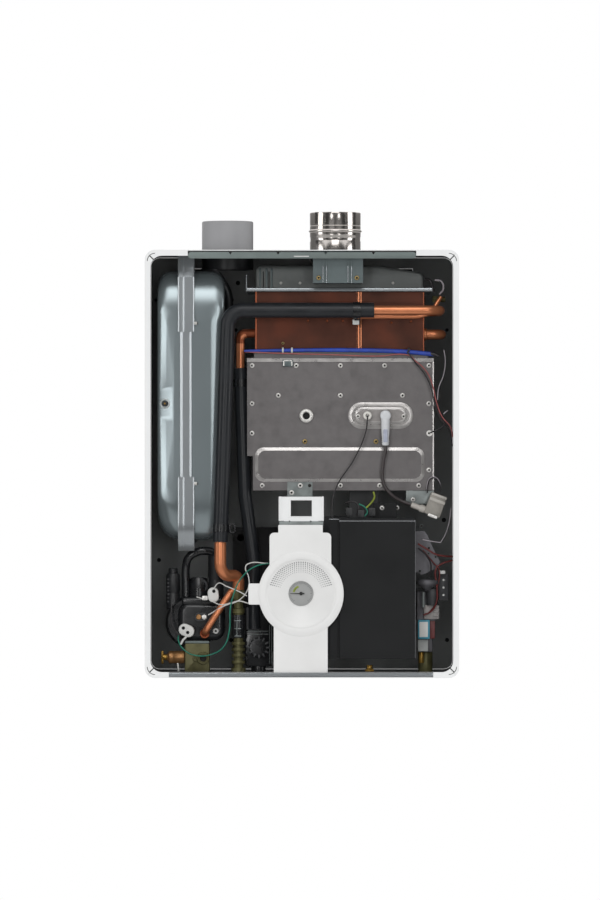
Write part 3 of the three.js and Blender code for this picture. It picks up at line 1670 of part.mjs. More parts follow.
// Bypass pipe, slanting from the flow fitting to the front of the water block.
const bypassY = frontPlane + bypass.fromFront;
const bypassTopZ = fittingTop - flowFitting.nutHeight - bypass.belowNut;
const bypassEndX = blockX[1] - bypass.endFromRight;
const bypassEndZ = blockZ[0] + bypass.endAbove;
const bypassLine = new PipeLine(
  [
    [fittingPlace.x - flowFitting.radius - gap, fittingPlace.y, bypassTopZ],
    [fittingPlace.x - flowFitting.radius - bypass.out, fittingPlace.y, bypassTopZ],
    [bypassEndX, bypassY, bypassEndZ],
    [bypassEndX, blockY[0] - gap, bypassEndZ],
  ],
  bypass.bend,
);
place("bypass_pipe", pipe(bypassLine, bypass.radius), finish.brightCopper);

// Plate heat exchanger for hot water, on the back panel behind the gauge.
const plateX = span(inside.left + plateStack.fromLeftWall, plateStack.width);
const plateZ = span(inside.floor + plateStack.aboveFloor, plateStack.height);
const plateY = [inside.back - gap - plateStack.depth, inside.back - gap];
const platePitch = plateStack.depth / plateStack.plates;
const portPlaces = grown(plateX, -plateStack.port - plateStack.groove).flatMap((x) =>
  grown(plateZ, -plateStack.port - plateStack.groove - plateStack.groove).map((z) => ({ x, z })),
);
const portFront = plateY[0] - plateStack.portOut;
place(
  "plate_heat_exchanger",
  cut(
    join(
      block(grown(plateX, -plateStack.groove), plateY, grown(plateZ, -plateStack.groove)),
      ...each(plateStack.plates, (i) =>
        block(plateX, span(plateY[0] + i * platePitch, platePitch / 2), plateZ),
      ),
      ...portPlaces.map((at) => barAlongY(at, [portFront, plateY[0] + gap], plateStack.port)),
    ),
    block(
      grown(plateX, -plateStack.groove - plateStack.wall),
      grown(plateY, -plateStack.wall),
      grown(plateZ, -plateStack.groove - plateStack.wall),
    ),
    ...portPlaces.map((at) =>
      barAlongY(
        at,
        [portFront - overrun, plateY[0] + plateStack.wall + overrun],
        plateStack.portBore,
        sides.small,
      ),
    ),
  ),
  finish.stainless,
);

// White gauge cover: a plate and a disc with a sunk cone round the dial, a tab and a neck.
const coverZ = inside.floor + cover.aboveFloor;
const coverFront = lipBack + gap;
const coverY = span(coverFront, cover.sheet);
const coverTop = coverZ + cover.plateTop;
const coneTop = cover.ridgeRadius - cover.ridgeWidth / 2;
const coneRear = coverFront + cover.coneDepth;
const coverPlace = { x: coverX, z: coverZ };
const coverPlate = roundedOutline(
  [coverX - cover.plateLeft, coverX + cover.plateRight],
  [coverZ - cover.plateRound, coverTop],
  cover.plateRound,
);
const footZ = [-casing.height / 2 + casing.lip - cover.tuck, coverZ];
place(
  "gauge_cover",
  join(
    cut(
      join(
        barAlongY(coverPlace, coverY, cover.radius, sides.large),
        frontSheet(coverPlate, coverY),
        block([coverX - cover.footLeft, coverX + cover.footRight], coverY, footZ),
        block([coverX - cover.tabOut, coverX], coverY, [coverZ - cover.tabBottom, coverZ + cover.tabTop]),
        block([coverX - neck.left, coverX + neck.right], coverY, [coverZ, coverTop + neck.height]),
      ),
      barAlongY(coverPlace, grown(coverY, overrun), coneTop, sides.large),
    ),
    turnedAlongY(coverPlace, [
      [coneTop, coverFront - cover.ridgeOut],
      [coneTop + cover.ridgeWidth, coverFront - cover.ridgeOut],
      [coneTop + cover.ridgeWidth, coverY[1]],
      [gauge.dialRadius + cover.sheet, coneRear + cover.sheet],
      [gauge.dialRadius, coneRear + cover.sheet],
      [gauge.dialRadius, coneRear],
      [coneTop, coverFront],
      [coneTop, coverFront - cover.ridgeOut],
    ]),
  ),
  finish.whitePlastic,
);

// Pressure gauge behind the cone, and its needle.
const gaugeFront = coneRear + cover.sheet + gap;
const dialY = gaugeFront + gauge.recess;
place(
  "pressure_gauge",
  cut(
    barAlongY(coverPlace, span(gaugeFront, gauge.length), gauge.radius, sides.large),
    barAlongY(coverPlace, [gaugeFront - overrun, dialY], gauge.dialRadius, sides.large),
    barAlongY(coverPlace, [dialY - overrun, dialY + pointer.pinReach], pointer.pin + gap, sides.small),
  ),
  finish.dialFace,
);
const pointerY = [dialY - gap - pointer.hubHeight, dialY - gap];
place(
  "gauge_needle",
  join(
    barAlongY(coverPlace, pointerY, pointer.hub, sides.pipe),
    block(
      [coverX - pointer.length, coverX + pointer.tail],
      span(pointerY[0], pointer.sheet),
      about(coverZ, pointer.width),
    ),
    barAlongY(coverPlace, [pointerY[0], dialY - gap + pointer.pinReach], pointer.pin, sides.small),
  ),
  finish.needleBlack,
);

// White bracket with a window above the cover, and the zinc plate it hooks to on the burner door.
const holderX = [coverX - coverBracket.left, coverX + coverBracket.right];
const holderY = span(coverY[1] + gap, coverBracket.sheet);
const holderTop = coverZ + coverBracket.above;
const zincY = [doorFront - gap - zincBracket.sheet, doorFront - gap];
place(
  "cover_bracket",
  cut(
    join(
      block(holderX, holderY, [coverTop + neck.height + coverBracket.neckRoom, holderTop]),
      block(grown(holderX, -coverBracket.tongueInset), holderY, [coverTop, holderTop]),
      block(holderX, [holderY[0], zincY[0] - gap], span(holderTop - coverBracket.sheet, coverBracket.sheet)),
    ),
    block(
      [coverX - coverBracket.windowLeft, coverX + coverBracket.windowRight],
      grown(holderY, overrun),
      span(coverZ + coverBracket.windowAbove, coverBracket.windowHeight),
    ),
  ),
  finish.whitePaint,
);
const zincZ = [doorZ[0] - zincBracket.low, panelZ[0] - gap];
place(
  "zinc_bracket",
  join(
    block(zincX, zincY, zincZ),
    ...zincScrewShares.map(([acrossShare, upShare]) =>
      frontScrew(
        zincX[0] + acrossShare * (zincX[1] - zincX[0]),
        zincZ[0] + upShare * (zincZ[1] - zincZ[0]),
        zincY[0],
        doorScrew,
      ),
    ),
  ),
  finish.greyTrim,
);

// Hand-placed points of a wire, measured from a place on the piece that holds it.
function pointsFrom([x, y, z], points) {
  return points.map(([right, back, up]) => [x + right, y + back, z + up]);
}

// Leads and wires, each held at both ends.
const sparkTip = [sparkNozzle.socketDepth - gap, -wireLead.spark, -wireLead.sparkBend].map((along) => {
  const point = new THREE.Vector3(nozzleTip + along, -sparkNozzle.forward, -sparkNozzle.low);
  return point.applyMatrix4(sparkTurn).toArray();
});
const ignitionRoute = [
  [sparkPlace.x, bootMiddleY, bootLow + boot.socketDepth - gap],
  [sparkPlace.x, bootMiddleY, bootLow - wireLead.boot],
  ...pointsFrom([sparkPlace.x, bootMiddleY, sparkPlace.z], [
    [-3.3, 1.45, -69.8],
    [-3.1, 2.45, -100.6],
    [8.3, 4.45, -118.1],
  ]),
  ...sparkTip.toReversed(),
];
place("ignition_lead", wireThrough(ignitionRoute, wire.thick, wireRings.ignition), finish.blackWire);
const rodFront = padFront - gap - flameRod.length;
const flameRoute = [
  [rodPlace.x, rodFront - gap, rodPlace.z],
  [rodPlace.x, rodFront - wireLead.rod, rodPlace.z],
  [rodPlace.x, rodFront - wireLead.rodBend, rodPlace.z - wireLead.rodDrop],
  ...pointsFrom([rodPlace.x, rodFront, rodPlace.z], [
    [-2.6, -1.4, -24.6],
    [-18.9, 0.6, -63.4],
    [-47.6, 1.6, -109.6],
    [-53.6, -8.4, -138.6],
    [-51.6, -14.4, -164.6],
  ]),
];
place("flame_rod_lead", wireThrough(flameRoute, wire.thin, wireRings.flameRod), finish.blackWire);
const loomY = chamberY[0] - gap - wire.sleeve;
const loomRoute = pointsFrom([doorX[0], loomY, coreZ[0]], [
  [-4.3, 0, 1.5],
  [72.7, 0, 2.5],
  [147.7, 0, 2.7],
  [232.7, 0, 0.5],
  [280.7, 0, -3.5],
]);
place("blue_loom", wireThrough(loomRoute, wire.sleeve, wireRings.loom), finish.blueSleeve);
const greenFrom = [blockX[0], blockY[0], blockZ[0]];
const greenEnd = [boxX[0] - gap, blockY[0] - wireLead.boxOut, blockZ[0] + wireLead.boxUp];
const greenRoute = [
  ...pointsFrom(greenFrom, [
    [6.2, -gap, 10.5],
    [5.7, -5, 9],
    [5.2, -10, 0.5],
    [15.2, -16, -14.5],
    [33.2, -17, -22.1],
    [57.2, -17, -19.5],
    [73.6, -22, -8.5],
    [82.2, -26, 15.5],
    [83.6, -28, 48.5],
    [88.2, -30, 68.5],
    [99.2, -32, 93.5],
    [119.2, -34, 111.5],
    [146.2, -34, 117.5],
  ]),
  greenEnd,
];
place("sensor_wire", wireThrough(greenRoute, wire.thin, wireRings.sensor), finish.greenWire);
const redRoute = [
  [gasX[1] - wireLead.bracket, bracketFront - gap - wire.thin, gasZ[1] + wireLead.bracketUp],
  ...pointsFrom([gasX[1], gasY[0], gasZ[1]], [
    [-4.2, -13.5, 41.3],
    [2.7, -13.5, 33.3],
    [-0.2, -12.5, 1.3],
    [-2.2, -9, -19.7],
    [-9.2, -5, -29.7],
    [-17.2, -gap - wire.thin, -36.7],
  ]),
];
place("red_wire", wireThrough(redRoute, wire.thin, wireRings.gasValve), finish.redWire);

export default boiler;
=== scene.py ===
"""Looks for the open wall-hung gas combi boiler: finishes for its CAD solids and the finer pieces on them.

Pieces are modelled in millimetres in the frame of the CAD: X to the right, Y back to the wall, Z up.
"""

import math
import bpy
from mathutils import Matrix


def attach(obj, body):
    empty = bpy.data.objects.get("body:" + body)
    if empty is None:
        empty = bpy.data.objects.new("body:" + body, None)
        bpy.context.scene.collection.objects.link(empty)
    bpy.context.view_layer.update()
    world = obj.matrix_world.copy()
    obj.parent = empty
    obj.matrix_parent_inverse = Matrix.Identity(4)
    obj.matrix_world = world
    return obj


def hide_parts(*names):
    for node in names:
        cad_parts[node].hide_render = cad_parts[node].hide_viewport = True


bl_info = {
    "name": "Open gas combi boiler",
    "version": (1, 0, 0),
    "blender": (4, 5, 0),
    "location": "3D View > Sidebar > Boiler",
    "description": "Builds the boiler's finishes, fine pieces, stage and camera around its packed CAD frame",
    "category": "Object",
}

import bmesh
import bpy
from mathutils import Matrix, Vector

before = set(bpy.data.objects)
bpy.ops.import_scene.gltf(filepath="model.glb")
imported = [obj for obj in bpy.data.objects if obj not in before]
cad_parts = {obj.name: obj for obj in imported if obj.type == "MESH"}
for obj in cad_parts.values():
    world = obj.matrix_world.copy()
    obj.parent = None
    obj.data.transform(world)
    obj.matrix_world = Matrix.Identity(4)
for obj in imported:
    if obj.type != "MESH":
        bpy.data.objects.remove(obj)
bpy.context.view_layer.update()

FRONT = -300.0  # front plane of the casing
VIEW_DISTANCE = 8000.0  # camera to front plane
PIXEL = 1.4944  # width of one pixel of the photograph on the front plane
CORNER_X, CORNER_Z = 0.220, 0.305  # middle of a rounded corner of the casing, in metres
INNER_ROUND = 0.0144  # radius just within the sheet there, in metres
LIP = 0.2995  # where the casing's front edge begins, in metres from its back
SPARK_TILT = Matrix.Translation((201, -235, -62)) @ Matrix.Rotation(0.35, 4, "Y")  # of the spark generator


def seen(px, py, y):
    """The point at depth y that shows at a pixel of the photograph."""
    spread = PIXEL * (1 + (y - FRONT) / VIEW_DISTANCE)
    return Vector((-2.8 + spread * (px - 300), y, 20.8 + spread * (450 - py)))


# Sizes and colours that a user may change


def linear(hex_colour):
    """An sRGB hex colour as linear red, green and blue."""
    parts = [int(hex_colour[i : i + 2], 16) / 255 for i in (1, 3, 5)]
    return tuple(p / 12.92 if p <= 0.04045 else ((p + 0.055) / 1.055) ** 2.4 for p in parts)


def colour(name, description, hex_colour):
    return bpy.props.FloatVectorProperty(
        name=name, description=description, default=linear(hex_colour), subtype="COLOR", min=0, max=1
    )


def length(name, description, millimetres):
    return bpy.props.FloatProperty(
        name=name, description=description, default=millimetres / 1000, unit="LENGTH", min=0, precision=4
    )


class BoilerColours(bpy.types.PropertyGroup):
    """Colours of the boiler's paints, metals, plastics and wires."""

    case_white: colour("Case white", "Powder coat outside and on the front lip", "#e4e5e5")
    # The grey inside is darker than its coat alone: it also carries painted shade of the deep case.
    case_inside_and_shade: colour("Case inside", "Dark coat inside the case", "#858787")
    trim_grey: colour("Trim grey", "Galvanised strips in the front edges", "#6f7977")
    collar_grey: colour("Collar grey", "Moulded air intake collar", "#929294")
    stainless: colour("Stainless", "Rolled exhaust collar", "#d6d0cb")
    vessel_zinc: colour("Vessel zinc", "Galvanised expansion vessel", "#8d979a")
    strap_zinc: colour("Strap zinc", "Galvanised straps", "#9da2a5")
    hood_grey: colour("Hood grey", "Aluminised flue hood", "#5a5d5c")
    hanger_grey: colour("Hanger grey", "Hanger of the hood", "#5c6667")
    door_steel: colour("Door steel", "Aluminised burner door", "#6a6767")
    copper_dark: colour("Heated copper", "Heat exchanger shell", "#4d281a")
    copper_bright: colour("Bright copper", "Drawn copper pipe", "#d98a61")
    brass: colour("Brass", "Turned and forged brass", "#a8843f")
    dull_brass_and_painted_shade: colour("Dull brass", "Forged brass in the shade", "#5d5a3c")
    foam_black: colour("Foam black", "Pipe insulation", "#1f2124")
    nylon_black: colour("Nylon black", "Water block, pump and motors", "#161719")
    lid_black: colour("Lid black", "Painted control box", "#18191a")
    cover_white: colour("Cover white", "Moulded gauge cover", "#dcdcdb")
    dial_silver: colour("Dial silver", "Face of the pressure gauge", "#9d9e9d")
    spark_beige: colour("Spark beige", "Spark generator", "#8f8b84")
    blue: colour("Blue sleeve", "Braided sleeve of the loom", "#213f9c")
    red: colour("Red wire", "Dark red wires", "#5f2422")
    green: colour("Green wire", "Green wire of the sensor", "#1d7560")


class BoilerSizes(bpy.types.PropertyGroup):
    """Sizes of the fine pieces that the photograph shows."""

    screw_radius: length("Screw radius", "Head of a casing or door screw", 3.9)
    screw_height: length("Screw height", "How far a screw head stands out", 1.9)
    tie_width: length("Tie width", "Cable tie round an insulated pipe", 11.0)
    tie_sheet: length("Tie thickness", "Sheet of a cable tie", 1.2)
    thin_wire: length("Thin wire", "Radius of a single wire", 1.0)
    thick_lead: length("Ignition lead", "Radius of the ignition lead", 2.6)
    loom_sleeve: length("Loom sleeve", "Radius of the blue loom", 3.3)
    emboss_slope: length("Door emboss", "Width of the slope round the raised panel", 4.6)
    dial_tick: length("Dial tick", "Length of a long mark on the dial", 2.6)


# Materials


def add(tree, kind, inputs=None, **properties):
    """A node with its properties, each input given a value or the output that feeds it."""
    node = tree.nodes.new(kind)
    for name, value in properties.items():
        setattr(node, name, value)
    for name, value in (inputs or {}).items():
        if isinstance(value, bpy.types.NodeSocket):
            tree.links.new(value, node.inputs[name])
        else:
            node.inputs[name].default_value = value
    return node


def start_material(name):
    """An empty material, its tree, its shader and the object coordinates that patterns follow."""
    material = bpy.data.materials.new(name)
    material.use_nodes = True
    tree = material.node_tree
    tree.nodes.clear()
    shader = add(tree, "ShaderNodeBsdfPrincipled")
    add(tree, "ShaderNodeOutputMaterial", {"Surface": shader.outputs[0]})
    return material, tree, shader, add(tree, "ShaderNodeTexCoord").outputs["Object"]


def shade(rgb, amount):
    """A colour made darker (below 1) or lighter (above 1)."""
    return tuple(min(1.0, part * amount) for part in rgb) + (1.0,)


def finish(
    name,
    rgb,
    rough,
    metal=0.0,
    patch=40.0,
    spread=(0.8, 1.12),
    grain=1.5,
    relief=0.05,
    stretch=(1, 1, 1),
    rough_spread=0.08,
    coat=0.0,
    gloss=0.5,
):
    """A surface with soft patches of tone, a fine grain in its relief and a sheen that varies with the
    patches.

    patch, grain and relief are in millimetres. gloss is the strength of the reflection, 0.5 as a rule.
    """
    material, tree, shader, place = start_material(name)
    along = add(tree, "ShaderNodeMapping", {"Vector": place, "Scale": stretch}).outputs[0]
    broad = add(tree, "ShaderNodeTexNoise", {"Vector": place, "Scale": 1000 / patch, "Detail": 3.0})
    fine = add(tree, "ShaderNodeTexNoise", {"Vector": along, "Scale": 1000 / grain, "Detail": 2.0})
    tone = add(tree, "ShaderNodeValToRGB", {"Fac": broad.outputs["Fac"]})
    low, high = tone.color_ramp.elements
    low.position, low.color = 0.3, shade(rgb, spread[0])
    high.position, high.color = 0.7, shade(rgb, spread[1])
    sheen = add(
        tree,
        "ShaderNodeMapRange",
        {
            "Value": broad.outputs["Fac"],
            "From Min": 0.3,
            "From Max": 0.7,
            "To Min": max(0.03, rough - rough_spread),
            "To Max": min(1.0, rough + rough_spread),
        },
    )
    bump = add(
        tree,
        "ShaderNodeBump",
        {"Height": fine.outputs["Fac"], "Distance": relief / 1000, "Strength": 0.8},
    )
    tree.links.new(tone.outputs[0], shader.inputs["Base Color"])
    tree.links.new(sheen.outputs[0], shader.inputs["Roughness"])
    tree.links.new(bump.outputs[0], shader.inputs["Normal"])
    shader.inputs["Metallic"].default_value = metal
    shader.inputs["Specular IOR Level"].default_value = gloss
    shader.inputs["Coat Weight"].default_value = coat
    return material


def math_node(tree, operation, first, second=0.0):
    """The result of a sum between two outputs or numbers."""
    return add(tree, "ShaderNodeMath", {0: first, 1: second}, operation=operation).outputs[0]


def all_of(tree, *tests):
    """One where every test is one."""
    result = tests[0]
    for test in tests[1:]:
        result = math_node(tree, "MULTIPLY", result, test)
    return result


def case_paint(rgb, inside):
    """White powder coat outside and on the front lip, a darker grey inside that also carries painted shade of
    the deep case; its orange peel is 2 mm wide.

    The folded corners of the lip meet in an open arc and a short slanting slit, which show dark.
    """
    material, tree, shader, place = start_material("white_powder_coated_steel")
    away = add(tree, "ShaderNodeVectorMath", {0: place}, operation="ABSOLUTE").outputs[0]
    x, y, z = add(tree, "ShaderNodeSeparateXYZ", {0: away}).outputs
    on_front = math_node(tree, "GREATER_THAN", y, LIP)
    # Past the start of the casing's 15 mm corner round, the inner face lies nearer its centre than mid sheet.
    over_x = math_node(tree, "MAXIMUM", math_node(tree, "SUBTRACT", x, CORNER_X), 0.0)
    over_z = math_node(tree, "MAXIMUM", math_node(tree, "SUBTRACT", z, CORNER_Z), 0.0)
    out = add(tree, "ShaderNodeCombineXYZ", {0: over_x, 1: over_z}).outputs[0]
    depth = add(tree, "ShaderNodeVectorMath", {0: out}, operation="LENGTH").outputs["Value"]
    # Inside the case the colour turns to the darker grey, partly painted shade.
    within = all_of(
        tree,
        math_node(tree, "LESS_THAN", depth, INNER_ROUND),
        math_node(tree, "LESS_THAN", y, LIP),
        math_node(tree, "GREATER_THAN", y, 0.0006),
    )
    across, up = math_node(tree, "SUBTRACT", x, 0.2196), math_node(tree, "SUBTRACT", z, 0.3032)
    reach = add(tree, "ShaderNodeCombineXYZ", {0: across, 1: up}).outputs[0]
    radius = add(tree, "ShaderNodeVectorMath", {0: reach}, operation="LENGTH").outputs["Value"]
    off_arc = math_node(tree, "ABSOLUTE", math_node(tree, "SUBTRACT", radius, 0.0115))
    corner = all_of(
        tree,
        math_node(tree, "GREATER_THAN", across, 0.0),
        math_node(tree, "GREATER_THAN", up, 0.0),
        on_front,
    )
    arc = all_of(tree, corner, math_node(tree, "LESS_THAN", off_arc, 0.00055))
    off_slant = math_node(tree, "ABSOLUTE", math_node(tree, "SUBTRACT", across, up))
    slant = all_of(
        tree,
        corner,
        math_node(tree, "LESS_THAN", off_slant, 0.0011),
        math_node(tree, "LESS_THAN", radius, 0.0112),
        math_node(tree, "GREATER_THAN", radius, 0.0026),
    )
    slit = math_node(tree, "MAXIMUM", arc, slant)
    broad = add(tree, "ShaderNodeTexNoise", {"Vector": place, "Scale": 14.0, "Detail": 3.0})
    tone = add(tree, "ShaderNodeMapRange", {"Value": broad.outputs["Fac"], "To Min": 0.94, "To Max": 1.04})
    picked = add(
        tree, "ShaderNodeMix", {"Factor": within, 6: shade(rgb, 1), 7: shade(inside, 1)}, data_type="RGBA"
    )
    cut = add(
        tree,
        "ShaderNodeMix",
        {"Factor": slit, 6: picked.outputs[2], 7: shade(linear("#3c3e3d"), 1)},
        data_type="RGBA",
    )
    toned = add(
        tree, "ShaderNodeVectorMath", {0: cut.outputs[2], "Scale": tone.outputs[0]}, operation="SCALE"
    )
    peel = add(tree, "ShaderNodeTexNoise", {"Vector": place, "Scale": 500.0, "Detail": 1.0})
    bump = add(tree, "ShaderNodeBump", {"Height": peel.outputs["Fac"], "Distance": 0.00004, "Strength": 0.7})
    sheen = add(tree, "ShaderNodeMapRange", {"Value": peel.outputs["Fac"], "To Min": 0.36, "To Max": 0.5})
    tree.links.new(toned.outputs[0], shader.inputs["Base Color"])
    tree.links.new(sheen.outputs[0], shader.inputs["Roughness"])
    tree.links.new(bump.outputs[0], shader.inputs["Normal"])
    return material


def heated_copper(name, rgb, rough, hot, patch, metal):
    """Copper browned by heat: dark oxide with redder, brighter metal left between its clouds."""
    material, tree, shader, place = start_material(name)
    broad = add(tree, "ShaderNodeTexNoise", {"Vector": place, "Scale": 1000 / patch, "Detail": 4.0})
    streak = add(tree, "ShaderNodeMapping", {"Vector": place, "Scale": (1, 1, 0.15)}).outputs[0]
    drawn = add(tree, "ShaderNodeTexNoise", {"Vector": streak, "Scale": 260.0, "Detail": 2.0})
    tone = add(tree, "ShaderNodeValToRGB", {"Fac": broad.outputs["Fac"]})
    low, high = tone.color_ramp.elements
    low.position, low.color = 0.3, shade(rgb, 0.62)
    high.position, high.color = 0.74, shade(hot, 1.0)
    middle = tone.color_ramp.elements.new(0.52)
    middle.color = shade(rgb, 1.0)
    sheen = add(
        tree,
        "ShaderNodeMapRange",
        {"Value": broad.outputs["Fac"], "From Min": 0.3, "From Max": 0.7, "To Min": rough + 0.12,
         "To Max": rough},
    )
    bump = add(tree, "ShaderNodeBump", {"Height": drawn.outputs["Fac"], "Distance": 0.00004, "Strength": 0.6})
    tree.links.new(tone.outputs[0], shader.inputs["Base Color"])
    tree.links.new(sheen.outputs[0], shader.inputs["Roughness"])
    tree.links.new(bump.outputs[0], shader.inputs["Normal"])
    shader.inputs["Metallic"].default_value = metal
    return material


def mix_finishes(c):
    """Every material of the boiler."""
    case_paint(c.case_white, c.case_inside_and_shade)
    # Zinc sheet rolled thin: even grey with a dry, slightly cloudy sheen.
    finish(
        "galvanised_trim", c.trim_grey, 0.5, 0.4, patch=30, spread=(0.85, 1.08), grain=0.8,
        stretch=(0.1, 1, 1)
    )
    # Moulded polypropylene: dull and even, with a faint haze from the mould.
    finish(
        "moulded_grey_polypropylene", c.collar_grey, 0.55, patch=35, spread=(0.94, 1.03), grain=0.9,
        relief=0.03
    )
    # Rolled and polished stainless steel: hard bands of light broken by fine rings.
    finish(
        "polished_stainless_steel", c.stainless, 0.16, 1.0, patch=45, spread=(0.94, 1.03), grain=0.7,
        relief=0.001, stretch=(0.1, 0.1, 1), rough_spread=0.01,
    )
    # Plates and plungers inside: stainless painted near black as the shade deep in the case.
    finish(
        "stainless_painted_shade", linear("#2d2d2e"), 0.5, 0.4, patch=18, spread=(0.75, 1.15), grain=1.2,
        relief=0.05
    )
    # Pressed galvanised shell: bright soft highlights over a faint cloud of zinc.
    finish(
        "galvanised_pressed_steel", c.vessel_zinc, 0.25, 0.7, patch=90, spread=(0.97, 1.02), grain=4.0,
        relief=0.002, rough_spread=0.004,
    )
    finish(
        "galvanised_strap_steel", c.strap_zinc, 0.26, 0.7, patch=60, spread=(0.97, 1.02), grain=3.0,
        relief=0.001, rough_spread=0.004,
    )
    # Aluminised hood and hanger: dark, half dull, smoked by heat.
    finish("aluminised_hood_steel", c.hood_grey, 0.42, 0.6, patch=28, spread=(0.78, 1.15), grain=1.2)
    finish("aluminised_hanger_steel", c.hanger_grey, 0.42, 0.5, patch=30, spread=(0.85, 1.1), grain=1.0)
    # Aluminised burner door: matt grey with mottling from heat.
    finish(
        "aluminised_door_steel", c.door_steel, 0.42, 0.6, patch=13, spread=(0.9, 1.08), grain=1.4, relief=0.04
    )
    # Machined igniter plate: paler than the door, with clean bright bevels. On the door's lip, right edge and
    # panel slope the same pale steel is a painted highlight.
    finish(
        "machined_steel_and_painted_highlight", linear("#b3b0ae"), 0.3, 0.7, patch=14, spread=(0.88, 1.06), grain=0.8,
        relief=0.02, rough_spread=0.05,
    )
    heated_copper("heated_copper_sheet", c.copper_dark, 0.36, linear("#5f301f"), 55, metal=0.6)
    # Drawn copper pipe: bright orange, a little dulled by handling; older lengths gone brown.
    finish(
        "drawn_copper_pipe", c.copper_bright, 0.33, 0.75, patch=30, spread=(0.86, 1.04), grain=4.0,
        relief=0.001, rough_spread=0.01,
    )
    finish(
        "browned_copper_pipe", linear("#8a4a2f"), 0.34, 0.75, patch=24, spread=(0.8, 1.15), grain=4.0,
        relief=0.002, rough_spread=0.02,
    )
    # Brass, bright where turned and dull where forged; the forged brass is also darkened as painted shade.
    finish("turned_brass", c.brass, 0.32, 0.8, patch=12, spread=(0.8, 1.12), grain=0.6, relief=0.01)
    finish(
        "coppery_brass", linear("#a4794e"), 0.36, 0.7, patch=10, spread=(0.8, 1.15), grain=0.8, relief=0.01
    )
    finish("forged_brass_and_painted_shade", c.dull_brass_and_painted_shade, 0.42, 0.6, patch=14, spread=(0.75, 1.2), grain=1.2, relief=0.08)
    # Zinc-plated screws, some passivated yellow.
    finish(
        "zinc_plated_screw_steel", linear("#dedcd8"), 0.36, 0.6, patch=3, spread=(0.85, 1.04), grain=0.5,
        relief=0.02
    )
    finish(
        "yellow_passivated_screw_steel", linear("#a48e5f"), 0.36, 0.7, patch=3, spread=(0.8, 1.1), grain=0.5
    )
    # Screw recesses, plug sockets and small holes: near black, painted shade.
    finish("screw_socket_painted_shade", linear("#1f1d1a"), 0.7, 0.2, patch=3, grain=0.5)
    finish(
        "zinc_plated_bracket_steel", linear("#7e8483"), 0.36, 0.5, patch=12, spread=(0.85, 1.1), grain=0.8,
        relief=0.02
    )
    # Closed-cell foam: matt charcoal with a skin that catches a soft light.
    finish(
        "closed_cell_foam", c.foam_black, 0.36, patch=22, spread=(0.85, 1.18), grain=2.2, relief=0.12,
        gloss=0.3
    )
    finish("nylon_cable_tie", linear("#121315"), 0.3, patch=8, spread=(0.9, 1.2), grain=0.8, relief=0.02)
    finish("natural_nylon", linear("#b9bcba"), 0.4, patch=8, spread=(0.9, 1.05), grain=0.8, relief=0.02)
    # Glass-filled nylon of the water block: black, satin, with flow marks.
    finish(
        "glass_filled_nylon", c.nylon_black, 0.3, patch=14, spread=(0.85, 1.2), grain=0.9, relief=0.012,
        coat=0.15
    )
    finish(
        "motor_black_plastic", linear("#1d1e20"), 0.42, patch=18, spread=(0.8, 1.2), grain=1.0, relief=0.05
    )
    finish(
        "ribbed_grey_plastic", linear("#393a3c"), 0.45, patch=16, spread=(0.8, 1.15), grain=1.0, relief=0.05
    )
    # Painted control box: satin black with a fine texture.
    finish(
        "satin_black_paint", c.lid_black, 0.42, patch=60, spread=(0.93, 1.06), grain=0.9, relief=0.02,
        gloss=0.2
    )
    # Pale grey for the lid's folds: a painted highlight.
    finish(
        "lid_fold_painted_highlight", linear("#8b8d90"), 0.36, 0.3, patch=12, spread=(0.85, 1.1), grain=0.9, relief=0.02
    )
    # Moulded gauge cover: white ABS, smooth and slightly glossy.
    finish("moulded_white_abs", c.cover_white, 0.36, patch=50, spread=(0.97, 1.02), grain=1.0, relief=0.012)
    finish(
        "white_painted_bracket_steel", linear("#dfe0e0"), 0.4, patch=40, spread=(0.96, 1.03), grain=0.9,
        relief=0.02
    )
    finish("dial_aluminium", c.dial_silver, 0.42, 0.2, patch=9, spread=(0.94, 1.03), grain=0.4, relief=0.01)
    finish("needle_lacquer", linear("#1c1c1c"), 0.4, patch=5, grain=0.5, relief=0.01)
    finish("printed_dial_ink", linear("#6f7172"), 0.6, patch=6, grain=0.5, relief=0.01)
    finish("printed_dial_green", linear("#8f9d3f"), 0.6, patch=6, grain=0.5, relief=0.01)
    finish("slot_shadow_plastic", linear("#8d8e8f"), 0.6, patch=8, grain=0.6, relief=0.02)
    # Fired ceramic and silicone of the ignition parts.
    finish(
        "glazed_ceramic", linear("#dcdad4"), 0.25, patch=8, spread=(0.95, 1.03), grain=0.8, relief=0.02,
        coat=0.3
    )
    finish("silicone_rubber", linear("#c6c8cb"), 0.38, patch=9, spread=(0.92, 1.05), grain=1.0, relief=0.03)
    finish("smoked_silicone", linear("#9da2b2"), 0.3, patch=9, spread=(0.92, 1.05), grain=1.0, relief=0.02)
    finish("beige_phenolic", c.spark_beige, 0.55, patch=12, spread=(0.84, 1.1), grain=1.1, relief=0.06)
    finish("pale_phenolic", linear("#b0aca5"), 0.5, patch=9, spread=(0.9, 1.06), grain=1.1, relief=0.04)
    # Castings: the gas valve in view, and the fan and duct behind it painted dark as shade.
    finish(
        "sand_cast_aluminium", linear("#67666a"), 0.45, 0.5, patch=14, spread=(0.75, 1.1), grain=1.6,
        relief=0.04
    )
    finish(
        "pale_cast_aluminium", linear("#8d8987"), 0.45, 0.4, patch=9, spread=(0.8, 1.1), grain=1.6,
        relief=0.04
    )
    finish(
        "cast_aluminium_painted_shade", linear("#3a3b3c"), 0.5, 0.4, patch=18, spread=(0.75, 1.15), grain=1.6,
        relief=0.05
    )
    finish("teal_paint", linear("#3c879c"), 0.5, patch=7, spread=(0.84, 1.08), grain=0.8, relief=0.02)
    finish("circuit_board_green", linear("#2f6b45"), 0.45, patch=12, spread=(0.85, 1.1), grain=0.8)
